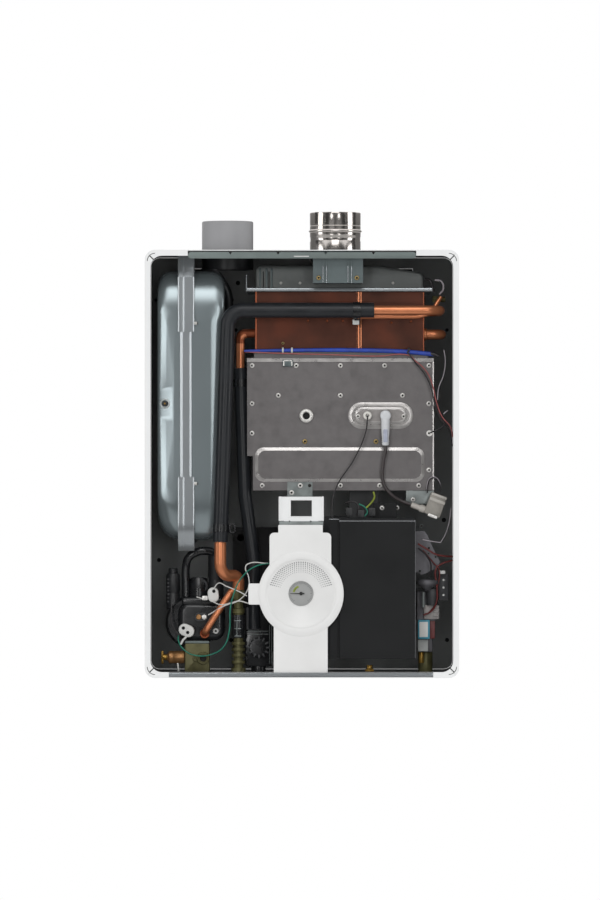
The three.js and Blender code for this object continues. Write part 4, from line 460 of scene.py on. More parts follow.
    # Wires: soft PVC with a low sheen, and a braided blue sleeve whose weave is drawn 2 mm wide to show.
    finish("braided_blue_sleeve", c.blue, 0.5, patch=10, spread=(0.78, 1.2), grain=2.0, relief=0.15)
    finish("red_pvc", c.red, 0.42, patch=12, spread=(0.85, 1.15), grain=1.0, relief=0.02)
    finish("pink_pvc", linear("#94504f"), 0.42, patch=12, spread=(0.88, 1.1), grain=1.0, relief=0.02)
    finish("green_pvc", c.green, 0.42, patch=12, spread=(0.85, 1.15), grain=1.0, relief=0.02)
    finish("black_pvc", linear("#1e1b1d"), 0.4, patch=12, spread=(0.85, 1.2), grain=1.0, relief=0.02)
    finish("lead_silicone", linear("#3b3636"), 0.42, patch=10, spread=(0.85, 1.15), grain=1.0, relief=0.02)
    finish("white_pvc", linear("#cfcfcc"), 0.4, patch=12, spread=(0.93, 1.03), grain=1.0, relief=0.02)
    finish("grey_pvc", linear("#9a9499"), 0.42, patch=12, spread=(0.9, 1.1), grain=1.0, relief=0.02)
    finish("yellow_green_pvc", linear("#7d8a2b"), 0.42, patch=6, spread=(0.7, 1.1), grain=1.0, relief=0.02)
    finish("shadow_gap", linear("#161718"), 0.8, patch=20, grain=1.0)


# Shaping


def settle(bm, part, index, place):
    """Joins a finished shape to a piece, with its faces outward and in one of the piece's materials."""
    bmesh.ops.recalc_face_normals(part, faces=part.faces)
    if place is not None:
        bmesh.ops.transform(part, matrix=place, verts=part.verts)
    for face in part.faces:
        face.material_index = index
    mesh = bpy.data.meshes.new("part")
    part.to_mesh(mesh)
    part.free()
    bm.from_mesh(mesh)
    bpy.data.meshes.remove(mesh)


def block(bm, low, high, axis=1, corner=0.0, rim=0.0, steps=4, index=0, place=None, shape=None):
    """A block whose edges along one axis are rounded by corner, and the rims of its two ends by rim."""
    part = bmesh.new()
    low, high = Vector(low), Vector(high)
    size = Matrix.Diagonal((*(high - low), 1))
    bmesh.ops.create_cube(part, size=1, matrix=Matrix.Translation((low + high) / 2) @ size)
    if shape:
        for vert in part.verts:
            vert.co = shape(vert.co.copy())
    if corner:
        along = [e for e in part.edges if abs((e.verts[0].co - e.verts[1].co).normalized()[axis]) > 0.9]
        bmesh.ops.bevel(
            part, geom=along, offset=corner, segments=steps, profile=0.5, affect="EDGES", material=-1,
            clamp_overlap=True
        )
    if rim:
        ends = [f for f in part.faces if abs(f.normal[axis]) > 0.9]
        edges = list({e for f in ends for e in f.edges})
        bmesh.ops.bevel(
            part, geom=edges, offset=rim, segments=max(2, steps // 2), profile=0.5, affect="EDGES",
            material=-1, clamp_overlap=True,
        )
    settle(bm, part, index, place)


def rounded(low, high, corners, steps=6):
    """A rectangle's outline with round corners. Corners are radii from the top right, anticlockwise."""
    radii = corners if isinstance(corners, tuple) else (corners,) * 4
    points = []
    for (sx, sz), start, radius in zip(((1, 1), (-1, 1), (-1, -1), (1, -1)), (0, 90, 180, 270), radii):
        x = (high[0] if sx > 0 else low[0]) - sx * radius
        z = (high[1] if sz > 0 else low[1]) - sz * radius
        for i in range(steps + 1):
            angle = math.radians(start + 90 * i / steps)
            points.append((x + radius * math.cos(angle), z + radius * math.sin(angle)))
    return points


def loft(bm, rings, index=0, place=None):
    """A shape through rings of points, its first and last ring closed by faces."""
    part = bmesh.new()
    loops = [[part.verts.new(point) for point in ring] for ring in rings]
    for first, second in zip(loops, loops[1:]):
        for a, b, c, d in zip(first, first[1:] + first[:1], second[1:] + second[:1], second):
            part.faces.new((a, b, c, d))
    part.faces.new(loops[0])
    part.faces.new(loops[-1])
    settle(bm, part, index, place)


def pressed(bm, outline, levels, index=0, axis=1, place=None):
    """A plate pressed in steps.

    Each level has a depth along the axis and an inset of the outline from the rim.
    """
    low = [min(p[i] for p in outline) for i in (0, 1)]
    high = [max(p[i] for p in outline) for i in (0, 1)]
    rings = []
    for depth, inset in levels:
        ring = []
        for point in outline:
            pair = []
            for i in (0, 1):
                middle, half = (low[i] + high[i]) / 2, (high[i] - low[i]) / 2
                pair.append(middle + (point[i] - middle) * (1 - inset / half))
            pair.insert(axis, depth)
            ring.append(pair)
        rings.append(ring)
    loft(bm, rings, index, place)


def strap(bm, path, section, thick, index=0):
    """A band along a path of (y, z) with the air on its left.

    Its section is pairs of x and how far it stands out.
    """
    rings = []
    for i, (y, z) in enumerate(path):
        before, after = path[max(i - 1, 0)], path[min(i + 1, len(path) - 1)]
        along = Vector((after[0] - before[0], after[1] - before[1])).normalized()
        out = Vector((-along.y, along.x))
        outer = [(x, y + out.x * proud, z + out.y * proud) for x, proud in section]
        inner = [(x, y - out.x * thick, z - out.y * thick) for x, proud in reversed(section)]
        rings.append(outer + inner)
    loft(bm, rings, index)


def facing(axis, centre):
    """Turns a shape made along Z to an axis and moves it to its centre."""
    turn = Vector((0, 0, 1)).rotation_difference(Vector(axis).normalized())
    return Matrix.Translation(centre) @ turn.to_matrix().to_4x4()


def turned(bm, profile, centre, axis=(0, -1, 0), steps=32, index=0, closed=False, place=None):
    """A profile of radius and height, spun about an axis from its centre. Height grows along the axis."""
    part = bmesh.new()
    verts = [part.verts.new((radius, 0, height)) for radius, height in profile]
    edges = [part.edges.new(pair) for pair in zip(verts, verts[1:])]
    if closed:
        edges.append(part.edges.new((verts[-1], verts[0])))
    bmesh.ops.spin(
        part, geom=verts + edges, cent=(0, 0, 0), axis=(0, 0, 1), dvec=(0, 0, 0), angle=2 * math.pi,
        steps=steps, use_merge=True, use_duplicate=False,
    )
    bmesh.ops.remove_doubles(part, verts=part.verts, dist=0.001)
    bmesh.ops.transform(part, matrix=facing(axis, centre), verts=part.verts)
    settle(bm, part, index, place)


def bar(bm, start, end, radius, end_radius=None, rim=0.0, sides=28, index=0, place=None):
    """A round bar between two points, or a cone, with its rims rounded."""
    start, end = Vector(start), Vector(end)
    part = bmesh.new()
    bmesh.ops.create_cone(
        part, cap_ends=True, segments=sides, radius1=radius,
        radius2=radius if end_radius is None else end_radius, depth=(end - start).length,
        matrix=facing(end - start, (start + end) / 2),
    )
    if rim:
        rims = [e for e in part.edges if any(len(f.verts) > 4 for f in e.link_faces)]
        bmesh.ops.bevel(part, geom=rims, offset=rim, segments=2, profile=0.5, affect="EDGES", material=-1)
    settle(bm, part, index, place)


def bent(points, bend, steps=10):
    """The points of a path whose corners are turned into round bends."""
    path = [Vector(points[0])]
    corners = [Vector(p) for p in points]
    for before, corner, after in zip(corners, corners[1:], corners[2:]):
        arrive, leave = corner - before, after - corner
        room = min(arrive.length, leave.length) / 2
        arrive.normalize()
        leave.normalize()
        turn = arrive.angle(leave)
        radius = min(bend, room / math.tan(turn / 2))
        inward = (leave - arrive * math.cos(turn)).normalized()
        start = corner - arrive * radius * math.tan(turn / 2)
        for i in range(steps + 1):
            angle = turn * i / steps
            path.append(start + arrive * radius * math.sin(angle) + inward * radius * (1 - math.cos(angle)))
    path.append(corners[-1])
    return path


def tube(bm, path, radius, smooth=False, sides=16, index=0, radii=None, place=None):
    """A round tube along a path, through its points in a smooth curve or straight from one to the next."""
    curve = bpy.data.curves.new("path", "CURVE")
    curve.dimensions = "3D"
    curve.bevel_depth = radius
    curve.bevel_resolution = (sides - 4) // 2
    curve.use_fill_caps = True
    if smooth:
        spline = curve.splines.new("BEZIER")
        spline.bezier_points.add(len(path) - 1)
        spline.resolution_u = 6
        for point, where in zip(spline.bezier_points, path):
            point.co = where
            point.handle_left_type = point.handle_right_type = "AUTO"
        points = spline.bezier_points
    else:
        spline = curve.splines.new("POLY")
        spline.points.add(len(path) - 1)
        for point, where in zip(spline.points, path):
            point.co = (*where, 1)
        points = spline.points
    for point, share in zip(points, radii or []):
        point.radius = share
    holder = bpy.data.objects.new("path", curve)
    bpy.context.scene.collection.objects.link(holder)
    bpy.context.view_layer.update()
    mesh = bpy.data.meshes.new_from_object(holder.evaluated_get(bpy.context.evaluated_depsgraph_get()))
    part = bmesh.new()
    part.from_mesh(mesh)
    bpy.data.objects.remove(holder)
    bpy.data.curves.remove(curve)
    bpy.data.meshes.remove(mesh)
    bmesh.ops.remove_doubles(part, verts=part.verts, dist=0.001)
    settle(bm, part, index, place)


def screw(bm, centre, axis=(0, -1, 0), radius=3.9, height=1.9, index=0, socket=1):
    """A pan-head screw with its recess."""
    turned(
        bm,
        [(0, -0.5), (radius, -0.5), (radius, height * 0.3), (radius * 0.88, height * 0.7),
         (radius * 0.62, height), (radius * 0.46, height), (radius * 0.4, height * 0.5)],
        centre, axis, steps=16, index=index,
    )
    # The recess takes a near-black material, a painted shade.
    turned(
        bm, [(0, height * 0.5), (radius * 0.42, height * 0.56), (radius * 0.42, 0.0), (0, 0.0)], centre, axis,
        steps=12, index=socket,
    )


def piece(name, bm, materials, body="boiler", replaces=(), sharp=32):
    """A finished piece: its mesh in metres, its materials and the CAD body that it rides on."""
    bmesh.ops.scale(bm, vec=(0.001, 0.001, 0.001), verts=bm.verts)
    mesh = bpy.data.meshes.new(name)
    bm.to_mesh(mesh)
    bm.free()
    for material in materials:
        mesh.materials.append(bpy.data.materials[material])
    mesh.shade_smooth()
    mesh.set_sharp_from_angle(angle=math.radians(sharp))
    made = bpy.data.objects.new(name, mesh)
    bpy.context.scene.collection.objects.link(made)
    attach(made, body)
    if replaces:
        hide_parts(*replaces)
    return made


def carve(made, cutter):
    """Cuts a shape, given as a bmesh in millimetres, out of a finished piece."""
    bmesh.ops.scale(cutter, vec=(0.001, 0.001, 0.001), verts=cutter.verts)
    mesh = bpy.data.meshes.new("cutter")
    cutter.to_mesh(mesh)
    cutter.free()
    tool = bpy.data.objects.new("cutter", mesh)
    bpy.context.scene.collection.objects.link(tool)
    change = made.modifiers.new("cut", "BOOLEAN")
    change.object, change.operation, change.solver = tool, "DIFFERENCE", "EXACT"
    change.use_self = True
    bpy.context.view_layer.update()
    result = bpy.data.meshes.new_from_object(made.evaluated_get(bpy.context.evaluated_depsgraph_get()))
    made.modifiers.clear()
    old, made.data = made.data, result
    result.name = made.name
    bpy.data.objects.remove(tool)
    bpy.data.meshes.remove(mesh)
    bpy.data.meshes.remove(old)
    result.shade_smooth()
    result.set_sharp_from_angle(angle=math.radians(32))


def coat_nodes(material, *nodes):
    """Gives CAD nodes that stay in view their finish."""
    for name in nodes:
        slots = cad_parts[name].data.materials
        slots.clear()
        slots.append(bpy.data.materials[material])


# Stage


def stage_sheet(name, material, place, *hidden_from):
    """A flat sheet of the stage, a metre square before it is placed, that some kinds of ray don't see."""
    sheet = bmesh.new()
    bmesh.ops.create_grid(sheet, x_segments=1, y_segments=1, size=0.5, matrix=place)
    mesh = bpy.data.meshes.new(name)
    sheet.to_mesh(mesh)
    sheet.free()
    mesh.materials.append(material)
    plane = bpy.data.objects.new(name, mesh)
    for kind in hidden_from:
        setattr(plane, "visible_" + kind, False)
    bpy.context.scene.collection.objects.link(plane)


def felt(name, dark, light):
    """Matt felt on a card of the stage."""
    material, tree, shader, place = start_material(name)
    nap = add(tree, "ShaderNodeTexNoise", {"Vector": place, "Scale": 60.0})
    tone = add(tree, "ShaderNodeMapRange", {"Value": nap.outputs["Fac"], "To Min": dark, "To Max": light})
    tree.links.new(tone.outputs[0], shader.inputs["Base Color"])
    shader.inputs["Roughness"].default_value = 0.9
    return material


def upright(centre, width, height, turn=0.0):
    """Stands a metre square up, facing the front or turned to a side, at a size and a place in metres."""
    stood = Matrix.Rotation(turn, 4, "Z") @ Matrix.Rotation(math.pi / 2, 4, "X")
    return Matrix.Translation(centre) @ stood @ Matrix.Diagonal((width, height, 1, 1))


# Operators, one for each group of pieces, in the order in which they are built


class BOILER_OT_finishes(bpy.types.Operator):
    """Mix every material of the boiler"""

    bl_idname = "boiler.finishes"
    bl_label = "Mix finishes"

    def execute(self, context):
        mix_finishes(context.scene.boiler_colours)
        return {"FINISHED"}


class BOILER_OT_stage(bpy.types.Operator):
    """Set the floor, the studio light and the camera"""

    bl_idname = "boiler.stage"
    bl_label = "Set stage"

    def execute(self, context):
        scene = context.scene
        scene.view_settings.view_transform = "Standard"
        world = bpy.data.worlds.new("studio")
        scene.world = world
        world.use_nodes = True
        tree = world.node_tree
        tree.nodes.clear()
        rays = add(tree, "ShaderNodeLightPath")
        straight = math_node(
            tree, "MAXIMUM", rays.outputs["Is Camera Ray"], rays.outputs["Is Glossy Ray"]
        )
        shown = math_node(tree, "MAXIMUM", straight, rays.outputs["Is Transmission Ray"])
        soft = add(tree, "ShaderNodeBackground", {"Color": (1, 1, 1, 1), "Strength": 0.36})
        white = add(tree, "ShaderNodeBackground", {"Color": (1, 1, 1, 1), "Strength": 1.0})
        mixed = add(tree, "ShaderNodeMixShader", {0: shown, 1: soft.outputs[0], 2: white.outputs[0]})
        add(tree, "ShaderNodeOutputWorld", {"Surface": mixed.outputs[0]})

        # The boiler hangs on a wall, so the floor lies well below it. It takes half its look from the
        # background's white and keeps the boiler's soft shadow in the rest.
        material, tree, shader, place = start_material("pale_floor_paint")
        cloud = add(tree, "ShaderNodeTexNoise", {"Vector": place, "Scale": 3.0, "Detail": 3.0})
        tone = add(
            tree, "ShaderNodeMapRange", {"Value": cloud.outputs["Fac"], "To Min": 0.86, "To Max": 0.92}
        )
        tree.links.new(tone.outputs[0], shader.inputs["Base Color"])
        shader.inputs["Roughness"].default_value = 0.8
        rays = add(tree, "ShaderNodeLightPath")
        half = math_node(tree, "MULTIPLY", rays.outputs["Is Camera Ray"], 0.6)
        glow = add(tree, "ShaderNodeEmission", {"Color": (1, 1, 1, 1), "Strength": 1.0})
        mixed = add(tree, "ShaderNodeMixShader", {0: half, 1: shader.outputs[0], 2: glow.outputs[0]})
        output = next(n for n in tree.nodes if n.bl_idname == "ShaderNodeOutputMaterial")
        tree.links.new(mixed.outputs[0], output.inputs["Surface"])
        stage_sheet("floor", material, Matrix.Translation((0, -0.2, -0.8)) @ Matrix.Diagonal((3, 3, 1, 1)))

        for name, where, size, watts in (
            ("soft_box_left", (-1.45, -5.1, 0.4), (0.6, 2.6), 34),
            ("soft_box_right", (1.45, -5.1, 0.4), (0.6, 2.6), 30),
            ("side_box_left", (-4.3, -1.6, 0.8), (1.6, 2.4), 42),
            ("side_box_right", (4.3, -1.6, 0.8), (1.6, 2.4), 42),
            ("soft_box_above", (0.0, -4.4, 3.05), (2.4, 1.6), 44),
            ("front_fill", (0.0, -6.5, 0.2), (2.2, 2.2), 58),
            ("back_fill", (0.0, 4.2, 1.2), (2.4, 2.4), 70),
        ):
            lamp = bpy.data.lights.new(name, "AREA")
            lamp.shape, lamp.energy = "RECTANGLE", watts
            lamp.size, lamp.size_y = size
            holder = bpy.data.objects.new(name, lamp)
            holder.location = where
            holder.rotation_euler = (Vector((0, -0.2, 0)) - Vector(where)).to_track_quat("-Z", "Y").to_euler()
            holder.visible_camera = False
            holder.visible_glossy = not name.endswith("fill")
            scene.collection.objects.link(holder)

        # Cards that only reflections see: black ones behind the soft boxes keep the metals dark between
        # their highlights, and one before and one on each side of the polished collar give it its dark
        # middle and edges.
        unseen = ("camera", "diffuse", "shadow")
        black, grey = felt("black_card_felt", 0.02, 0.05), felt("grey_card_felt", 0.3, 0.36)
        stage_sheet("black_card", black, upright((0, -5.7, 0.2), 12, 7), *unseen)
        for name, x in (("black_card_left", -6.2), ("black_card_right", 6.2)):
            stage_sheet(name, black, upright((x, -1.7, 0.2), 8, 7, math.pi / 2), *unseen)
        stage_sheet("collar_card_front", black, upright((0.051, -0.32, 0.362), 0.24, 0.08), *unseen)
        for name, x in (("collar_card_left", -0.065), ("collar_card_right", 0.167)):
            stage_sheet(name, grey, upright((x, -0.02, 0.362), 0.26, 0.08, math.pi / 2), *unseen)
        # Black sheets fill the two hang slots as painted shade, so no background shows through them.
        for name, x in (("hang_slot_shade_left", -0.15), ("hang_slot_shade_right", 0.15)):
            stage_sheet(name, black, upright((x, -0.0005, 0.2968), 0.0436, 0.0096), "shadow")

        lens = bpy.data.cameras.new("camera")
        lens.sensor_fit, lens.sensor_width = "AUTO", 36
        lens.lens = 36 * VIEW_DISTANCE / (900 * PIXEL)
        camera = bpy.data.objects.new("camera", lens)
        camera.location = (-0.0028, (FRONT - VIEW_DISTANCE) / 1000, 0.0208)
        camera.rotation_euler = (math.pi / 2, 0, 0)
        scene.collection.objects.link(camera)
        scene.camera = camera
        return {"FINISHED"}


class BOILER_OT_casing(bpy.types.Operator):
    """Coat the casing, cut the two strips in its front edges, and lay dark discs of painted shade for the
    holes in its back
    """

    bl_idname = "boiler.casing"
    bl_label = "Casing"

    def execute(self, context):
        coat_nodes(
            "white_powder_coated_steel", "left_side", "right_side", "top_panel", "bottom_panel", "back_panel"
        )
        top = rounded((-170.3, 307), (170.6, 316.8), 4.5)
        notches = []
        for x in (106.95, 35.65, -35.65, -106.95):
            notches += [(x + 2.5, 316.8), (x, 312.8), (x - 2.5, 316.8)]
        top[7:7] = notches
        bm = bmesh.new()
        pressed(bm, top, [(-298.5, 0), (-299.5, 0), (-299.8, 0.4)])
        # A thin white bar across the middle of the strip is a painted glint.
        block(bm, (-11.8, -299.92, 309.6), (10.7, -299.4, 310.9), index=1)
        piece(
            "top_strip_sheet", bm, ["galvanised_trim", "white_pvc"], replaces=["top_strip"]
        )
        bm = bmesh.new()
        bottom = rounded((-198.6, -317.9), (196, -312.1), 1.2, 3)
        pressed(bm, bottom, [(-298.5, 0), (-299.5, 0), (-299.8, 0.4)])
        piece(
            "bottom_strip_sheet", bm, ["galvanised_strap_steel"], replaces=["bottom_strip"]
        )

        # The holes in the back are not cut: each is a near-black disc, painted shade.
        bm = bmesh.new()
        for px, py, radius in (
            (233.5, 262, 1.8), (238, 283, 2.2), (232, 300, 1.6), (441, 300, 1.8), (447, 330, 1.6),
            (159, 560, 2), (444, 520, 2.2), (236, 330, 1.8), (156, 300, 1.6), (447, 640, 2), (231, 640, 2),
        ):
            where = seen(px, py, -1.2)
            turned(bm, [(0, 0.2), (radius, 0.2), (radius * 1.5, 0.5), (radius * 1.6, 0.0)], where, steps=14)
        piece("back_panel_hole_shadows", bm, ["shadow_gap"])
        return {"FINISHED"}


class BOILER_OT_collars(bpy.types.Operator):
    """Turn the two flue collars"""

    bl_idname = "boiler.collars"
    bl_label = "Flue collars"

    def execute(self, context):
        bm = bmesh.new()
        turned(
            bm,
            [(39, 319), (39, 320.3), (45, 320.3), (45, 321.9), (44.6, 322.3), (39.6, 322.3), (39, 323),
             (39, 366.4), (38.6, 367.6), (37.6, 368.3), (37.4, 368.4), (37.4, 319)],
            (-113, -150, 0), (0, 0, 1), steps=72, closed=True,
        )
        # The skirt inside the case is drawn in black plastic, a painted shade of the grey moulding.
        shaded_skirt = [(39, 294.8), (39, 319), (37.4, 319), (37.4, 294.8)]
        turned(bm, shaded_skirt, (-113, -150, 0), (0, 0, 1), steps=72, closed=True, index=1)
        piece(
            "air_intake_collar_moulding", bm, ["moulded_grey_polypropylene", "motor_black_plastic"],
            replaces=["air_intake_collar"],
        )
        bm = bmesh.new()
        outer = [(38.8, 299.2), (38.8, 337.5), (38.2, 338.6), (38.2, 343.8), (38.8, 345), (38.8, 350.9),
                 (39.7, 351.6), (40.4, 352.8), (40.4, 354), (39.7, 355.2), (38.8, 355.9), (38.8, 361),
                 (38.4, 361.6), (38.8, 362.2), (38.8, 380.6), (38.5, 381.7), (38.1, 381.9), (37.6, 381.4),
                 (37.6, 299.2)]
        turned(bm, outer, (50.9, -150, 0), (0, 0, 1), steps=72, closed=True)
        piece(
            "exhaust_collar_rolled", bm, ["polished_stainless_steel"], replaces=["exhaust_collar"],
        )
        return {"FINISHED"}


class BOILER_OT_vessel(bpy.types.Operator):
    """Press the expansion vessel, and set its straps and valve"""

    bl_idname = "boiler.vessel"
    bl_label = "Expansion vessel"

    def execute(self, context):
        # The shell's edges are crowned: a wide gentle slope first, then a tighter round.
        def slope_then_round(depth, start, rest, fall):
            """How far a side is drawn in at a depth: a slope from start to rest, then a round."""
            if depth < fall:
                return start - (start - rest) * depth / fall
            share = min(1.0, (depth - fall) / max(rest, 4.0))
            return rest * (1 - math.sqrt(1 - (1 - share) ** 2))

        def ends(depth):
            """How far the top and the bottom are drawn in at a depth: a wide arc, then a tight one."""
            if depth < 10.5:
                return 73 - math.sqrt(288 * depth - depth**2)
            return 30 - math.sqrt(max(0.0, 900 - (38.3 - min(depth, 38.3)) ** 2))

        depths = (0, 0.25, 0.6, 1.0, 1.46, 2.2, 3.2, 4.6, 6.5, 8.5, 10.5, 14, 18, 23, 29, 34, 38.3)
        rings = []
        for face, way in ((-252, 1), (-22, -1)):
            for depth in depths[::way]:
                left, right = slope_then_round(depth, 14, 3.6, 1.46), slope_then_round(depth, 20.5, 8, 1.76)
                share = min(1.0, 0.6 + depth / 10)
                outline = rounded(
                    (-217.3 + left, -115.7 + ends(depth)), (-116.8 - right, 290.8 - ends(depth)),
                    (20 * share, 20 * share, 36 * share, 30 * share), 9,
                )
                rings.append([(x, face + way * depth, z) for x, z in outline])
        bm = bmesh.new()
        loft(bm, rings)
        shell = piece(
            "expansion_vessel_shell", bm, ["galvanised_pressed_steel"], replaces=["expansion_vessel"],
            sharp=50,
        )
        # A flat for the air valve, pressed in with slanting sides.
        flat = bmesh.new()
        loft(flat, [
            [(-232, y, low), (right, y, low), (right, y, high), (-232, y, high)]
            for y, right, low, high in ((-254, -187, 53, 126.5), (-250.3, -198, 73, 109))
        ])
        carve(shell, flat)

        path = [(-30, -115.7)]
        path += [(-252 + depth, -115.7 + ends(depth)) for depth in depths[::-1]]
        path += [(-252 + depth, 290.8 - ends(depth)) for depth in depths]
        path.append((-30, 290.8))
        band = [(-183.2, 0.3), (-182.9, 2.3), (-179.0, 2.9), (-168.9, 2.9), (-165.8, 2.45), (-165.2, 0.3)]
        bm = bmesh.new()
        strap(bm, path, band, 0.6)
        piece("vessel_seam_band", bm, ["galvanised_strap_steel"], sharp=6)

        bm = bmesh.new()
        where = (-205.9, -244.3, 90.5)
        turned(
            bm, [(0, 4), (5.4, 4), (5.6, 6.4), (6.3, 7.2), (7.2, 7.2), (7.6, 6.2), (7.6, 0), (0, 0)], where,
            index=2
        )
        turned(
            bm, [(0, 4), (4.6, 4), (4.8, 6.6), (4.2, 7.4), (3.2, 7.4), (3.0, 12.6), (2.4, 13.6), (0, 14)],
            where, index=1, steps=24,
        )
        turned(bm, [(0, 13.8), (1.3, 13.8), (1.2, 14.3), (0, 14.4)], where, steps=14)
        piece(
            "vessel_valve", bm, ["turned_brass", "motor_black_plastic", "natural_nylon"],
            replaces=["vessel_air_valve"],
        )

        # Straps, folded in two narrow bands with a bright step between them.
        section = [(-186.45, -0.9), (-186.2, -0.28), (-184.6, -0.04), (-179.0, 0), (-176.6, -0.35),
                   (-163.4, -0.35), (-161.9, -0.58), (-161.65, -0.9)]
        upper = [(-256.8, 198.3), (-256.8, 281), (-255.4, 285.6), (-254.0, 290.4), (-248.4, 318.0),
                 (-246.4, 318.4), (-226.8, 318.4)]
        turns = [0.1 * i for i in range(8, -1, -1)]
        lower = [(-256.8 + 60 * (1 - math.cos(a)), -88 - 60 * math.sin(a)) for a in turns]
        materials = ["galvanised_strap_steel", "zinc_plated_screw_steel", "screw_socket_painted_shade"]
        for name, path, z, carrier in (
            ("vessel_strap_upper", upper, 211.3, "upper_strap"),
            ("vessel_strap_lower", lower + [(-256.8, -19.7)], -29.7, "lower_strap"),
        ):
            bm = bmesh.new()
            strap(bm, path, section, 1.5)
            bar(bm, (-162.4, -254.4, z), (-157.6, -254.4, z), 2.6, rim=0.6, sides=18, index=1)
            bar(bm, (-158.0, -254.4, z), (-156.4, -254.4, z), 1.5, sides=12, index=2)
            if carrier == "lower_strap":
                block(bm, (-186.45, -247, -120.5), (-161.65, -1.5, -119), axis=2, corner=1, steps=2)
            piece(name, bm, materials, replaces=[carrier], sharp=6)
        return {"FINISHED"}


class BOILER_OT_hood(bpy.types.Operator):
    """Press the flue hood, and dress its hanger"""

    bl_idname = "boiler.hood"
    bl_label = "Flue hood"

    def execute(self, context):
        bm = bmesh.new()
        corners = [
            (184.1, 0, 261.6), (184.1, 0, 287.9), (117.4, 0, 298.9), (-70.6, 0, 298.9), (-70.6, 0, 261.6)
        ]
        outline = [(p.x, p.z) for p in bent(corners, 9, 6)]
        pressed(bm, outline, [(-60, 0), (-226, 0), (-228.8, 1.1), (-229.6, 2.8), (-230, 5.4)])
        for x in (-62.9, -53.2, -45.5):
            tube(
                bm, bent([(x, -229.6, 263), (x, -229.6, 293.5), (x, -224, 298.2)], 6), 1.7, sides=12, index=3
            )
        for x in (-58, -49.5):
            tube(bm, [(x, -228.8, 263), (x, -228.8, 290)], 1.6, sides=10, index=1)
        for px in (281, 300, 393):
            screw(bm, seen(px, 283, -230), radius=2.0, height=0.8, index=2, socket=1)
        piece(
            "flue_hood_pressing", bm,
            ["aluminised_hood_steel", "shadow_gap", "zinc_plated_screw_steel", "aluminised_hanger_steel"],
            replaces=["flue_hood"],
        )
        # The flange's front lip leans back at its top and catches the light from above there.
        bm = bmesh.new()
        block(bm, (-82.7, -240, 259.65), (196.2, -60, 262.0), axis=2, corner=4, rim=0.8, steps=4)
        lip = [(-238.5, 259.7), (-241.3, 259.9), (-241.2, 263.2), (-240.6, 264.7), (-238.5, 264.9)]
        pressed(bm, lip, [(-82.7, 0), (196.2, 0)], axis=0)
        block(bm, (-84.2, -238, 258.5), (-82.7, -190, 285), axis=0, corner=0.6, steps=2)
        for x in (-76, -20, 112, 160, 190):
            screw(bm, (x, -232, 262), (0, 0, 1), radius=3.2, height=1.6, index=1, socket=2)
        piece(
            "flue_hood_flange", bm,
            ["galvanised_strap_steel", "zinc_plated_screw_steel", "screw_socket_painted_shade"],
        )

        coat_nodes("aluminised_hanger_steel", "exchanger_hanger")
        bm = bmesh.new()
        for px in (318.7, 356.9):
            screw(bm, seen(px, 277.8, -280.0), radius=3.6, height=1.8)
        for x in (31.7, 36.9, 69.1, 74.4):
            block(bm, (x - 0.8, -282.5, 271.4), (x + 0.8, -281.2, 296), axis=2, corner=0.6, steps=2, index=2)
        piece(
            "hanger_screws", bm,
            ["yellow_passivated_screw_steel", "screw_socket_painted_shade", "galvanised_strap_steel"],
        )

        bm = bmesh.new()
        hose = [seen(202, 268.5, -150), seen(209, 270.6, -150), seen(216.4, 274.4, -150),
                seen(222.5, 282.5, -150), seen(226.6, 289.7, -150), seen(228.6, 298, -150),
                seen(229, 316, -150)]
        tube(bm, hose, 6.5, smooth=True, sides=20)
        piece("condensate_hose", bm, ["motor_black_plastic"])
        return {"FINISHED"}


class BOILER_OT_exchanger(bpy.types.Operator):
    """Coat the heat exchanger, and add its seams, dimples and return bend"""

    bl_idname = "boiler.exchanger"
    bl_label = "Heat exchanger"

    def execute(self, context):
        coat_nodes("heated_copper_sheet", "heat_exchanger")
        bm = bmesh.new()
        block(bm, (-70.8, -230.7, 242.5), (184.3, -229.8, 259.2), axis=1, corner=1, rim=0.4, steps=2)
        # Seams whose slanting faces catch the light from the side; the pair near the middle is in bright
        # copper as a painted highlight.
        seams = (
            (83.4, 86.4, 0.45, 0.0, 4), (88.2, 89.8, 0.3, 0.0, 4),
            (-69.9, -68.2, 0.24, 0.0, 1), (182.9, 184.1, 0.0, 0.17, 1),
        )
        for x0, x1, near, far, index in seams:
            seam = [(x0, -229.8), (x0, -231.2 + near), (x1, -231.2 + far), (x1, -229.8)]
            pressed(bm, seam, [(168.8, 0), (259.0, 0)], index=index, axis=2)
        for px, py in ((307.9, 320.9), (327, 320.9), (343, 320.9), (391.6, 322.6), (411, 321.5)):
            turned(bm, [(0, 0.4), (0.9, 0.5), (1.5, 0.9), (2.0, 0.0)], seen(px, py, -230), steps=16, index=1)
        screw(bm, seen(282.9, 343.2, -230), radius=2.4, height=1.3, index=2, socket=3)
        piece(
            "exchanger_seams", bm,
            ["heated_copper_sheet", "browned_copper_pipe", "yellow_passivated_screw_steel",
             "screw_socket_painted_shade", "drawn_copper_pipe"],
            sharp=6,
        )
        bm = bmesh.new()
        bend = bent(
            [(184.3, -215, 195.5), (211.1, -215, 195.5), (211.1, -175, 195.5), (184.3, -175, 195.5)], 14, 12
        )
        tube(bm, bend, 7.25, sides=28)
        for y in (-215, -175):
            turned(
                bm, [(7.2, 0), (9, 0), (9, 3.4), (8.2, 4.4), (7.2, 4.6)], (184.2, y, 195.5), (1, 0, 0),
                closed=True
            )
        piece("return_bend", bm, ["drawn_copper_pipe"])
        return {"FINISHED"}


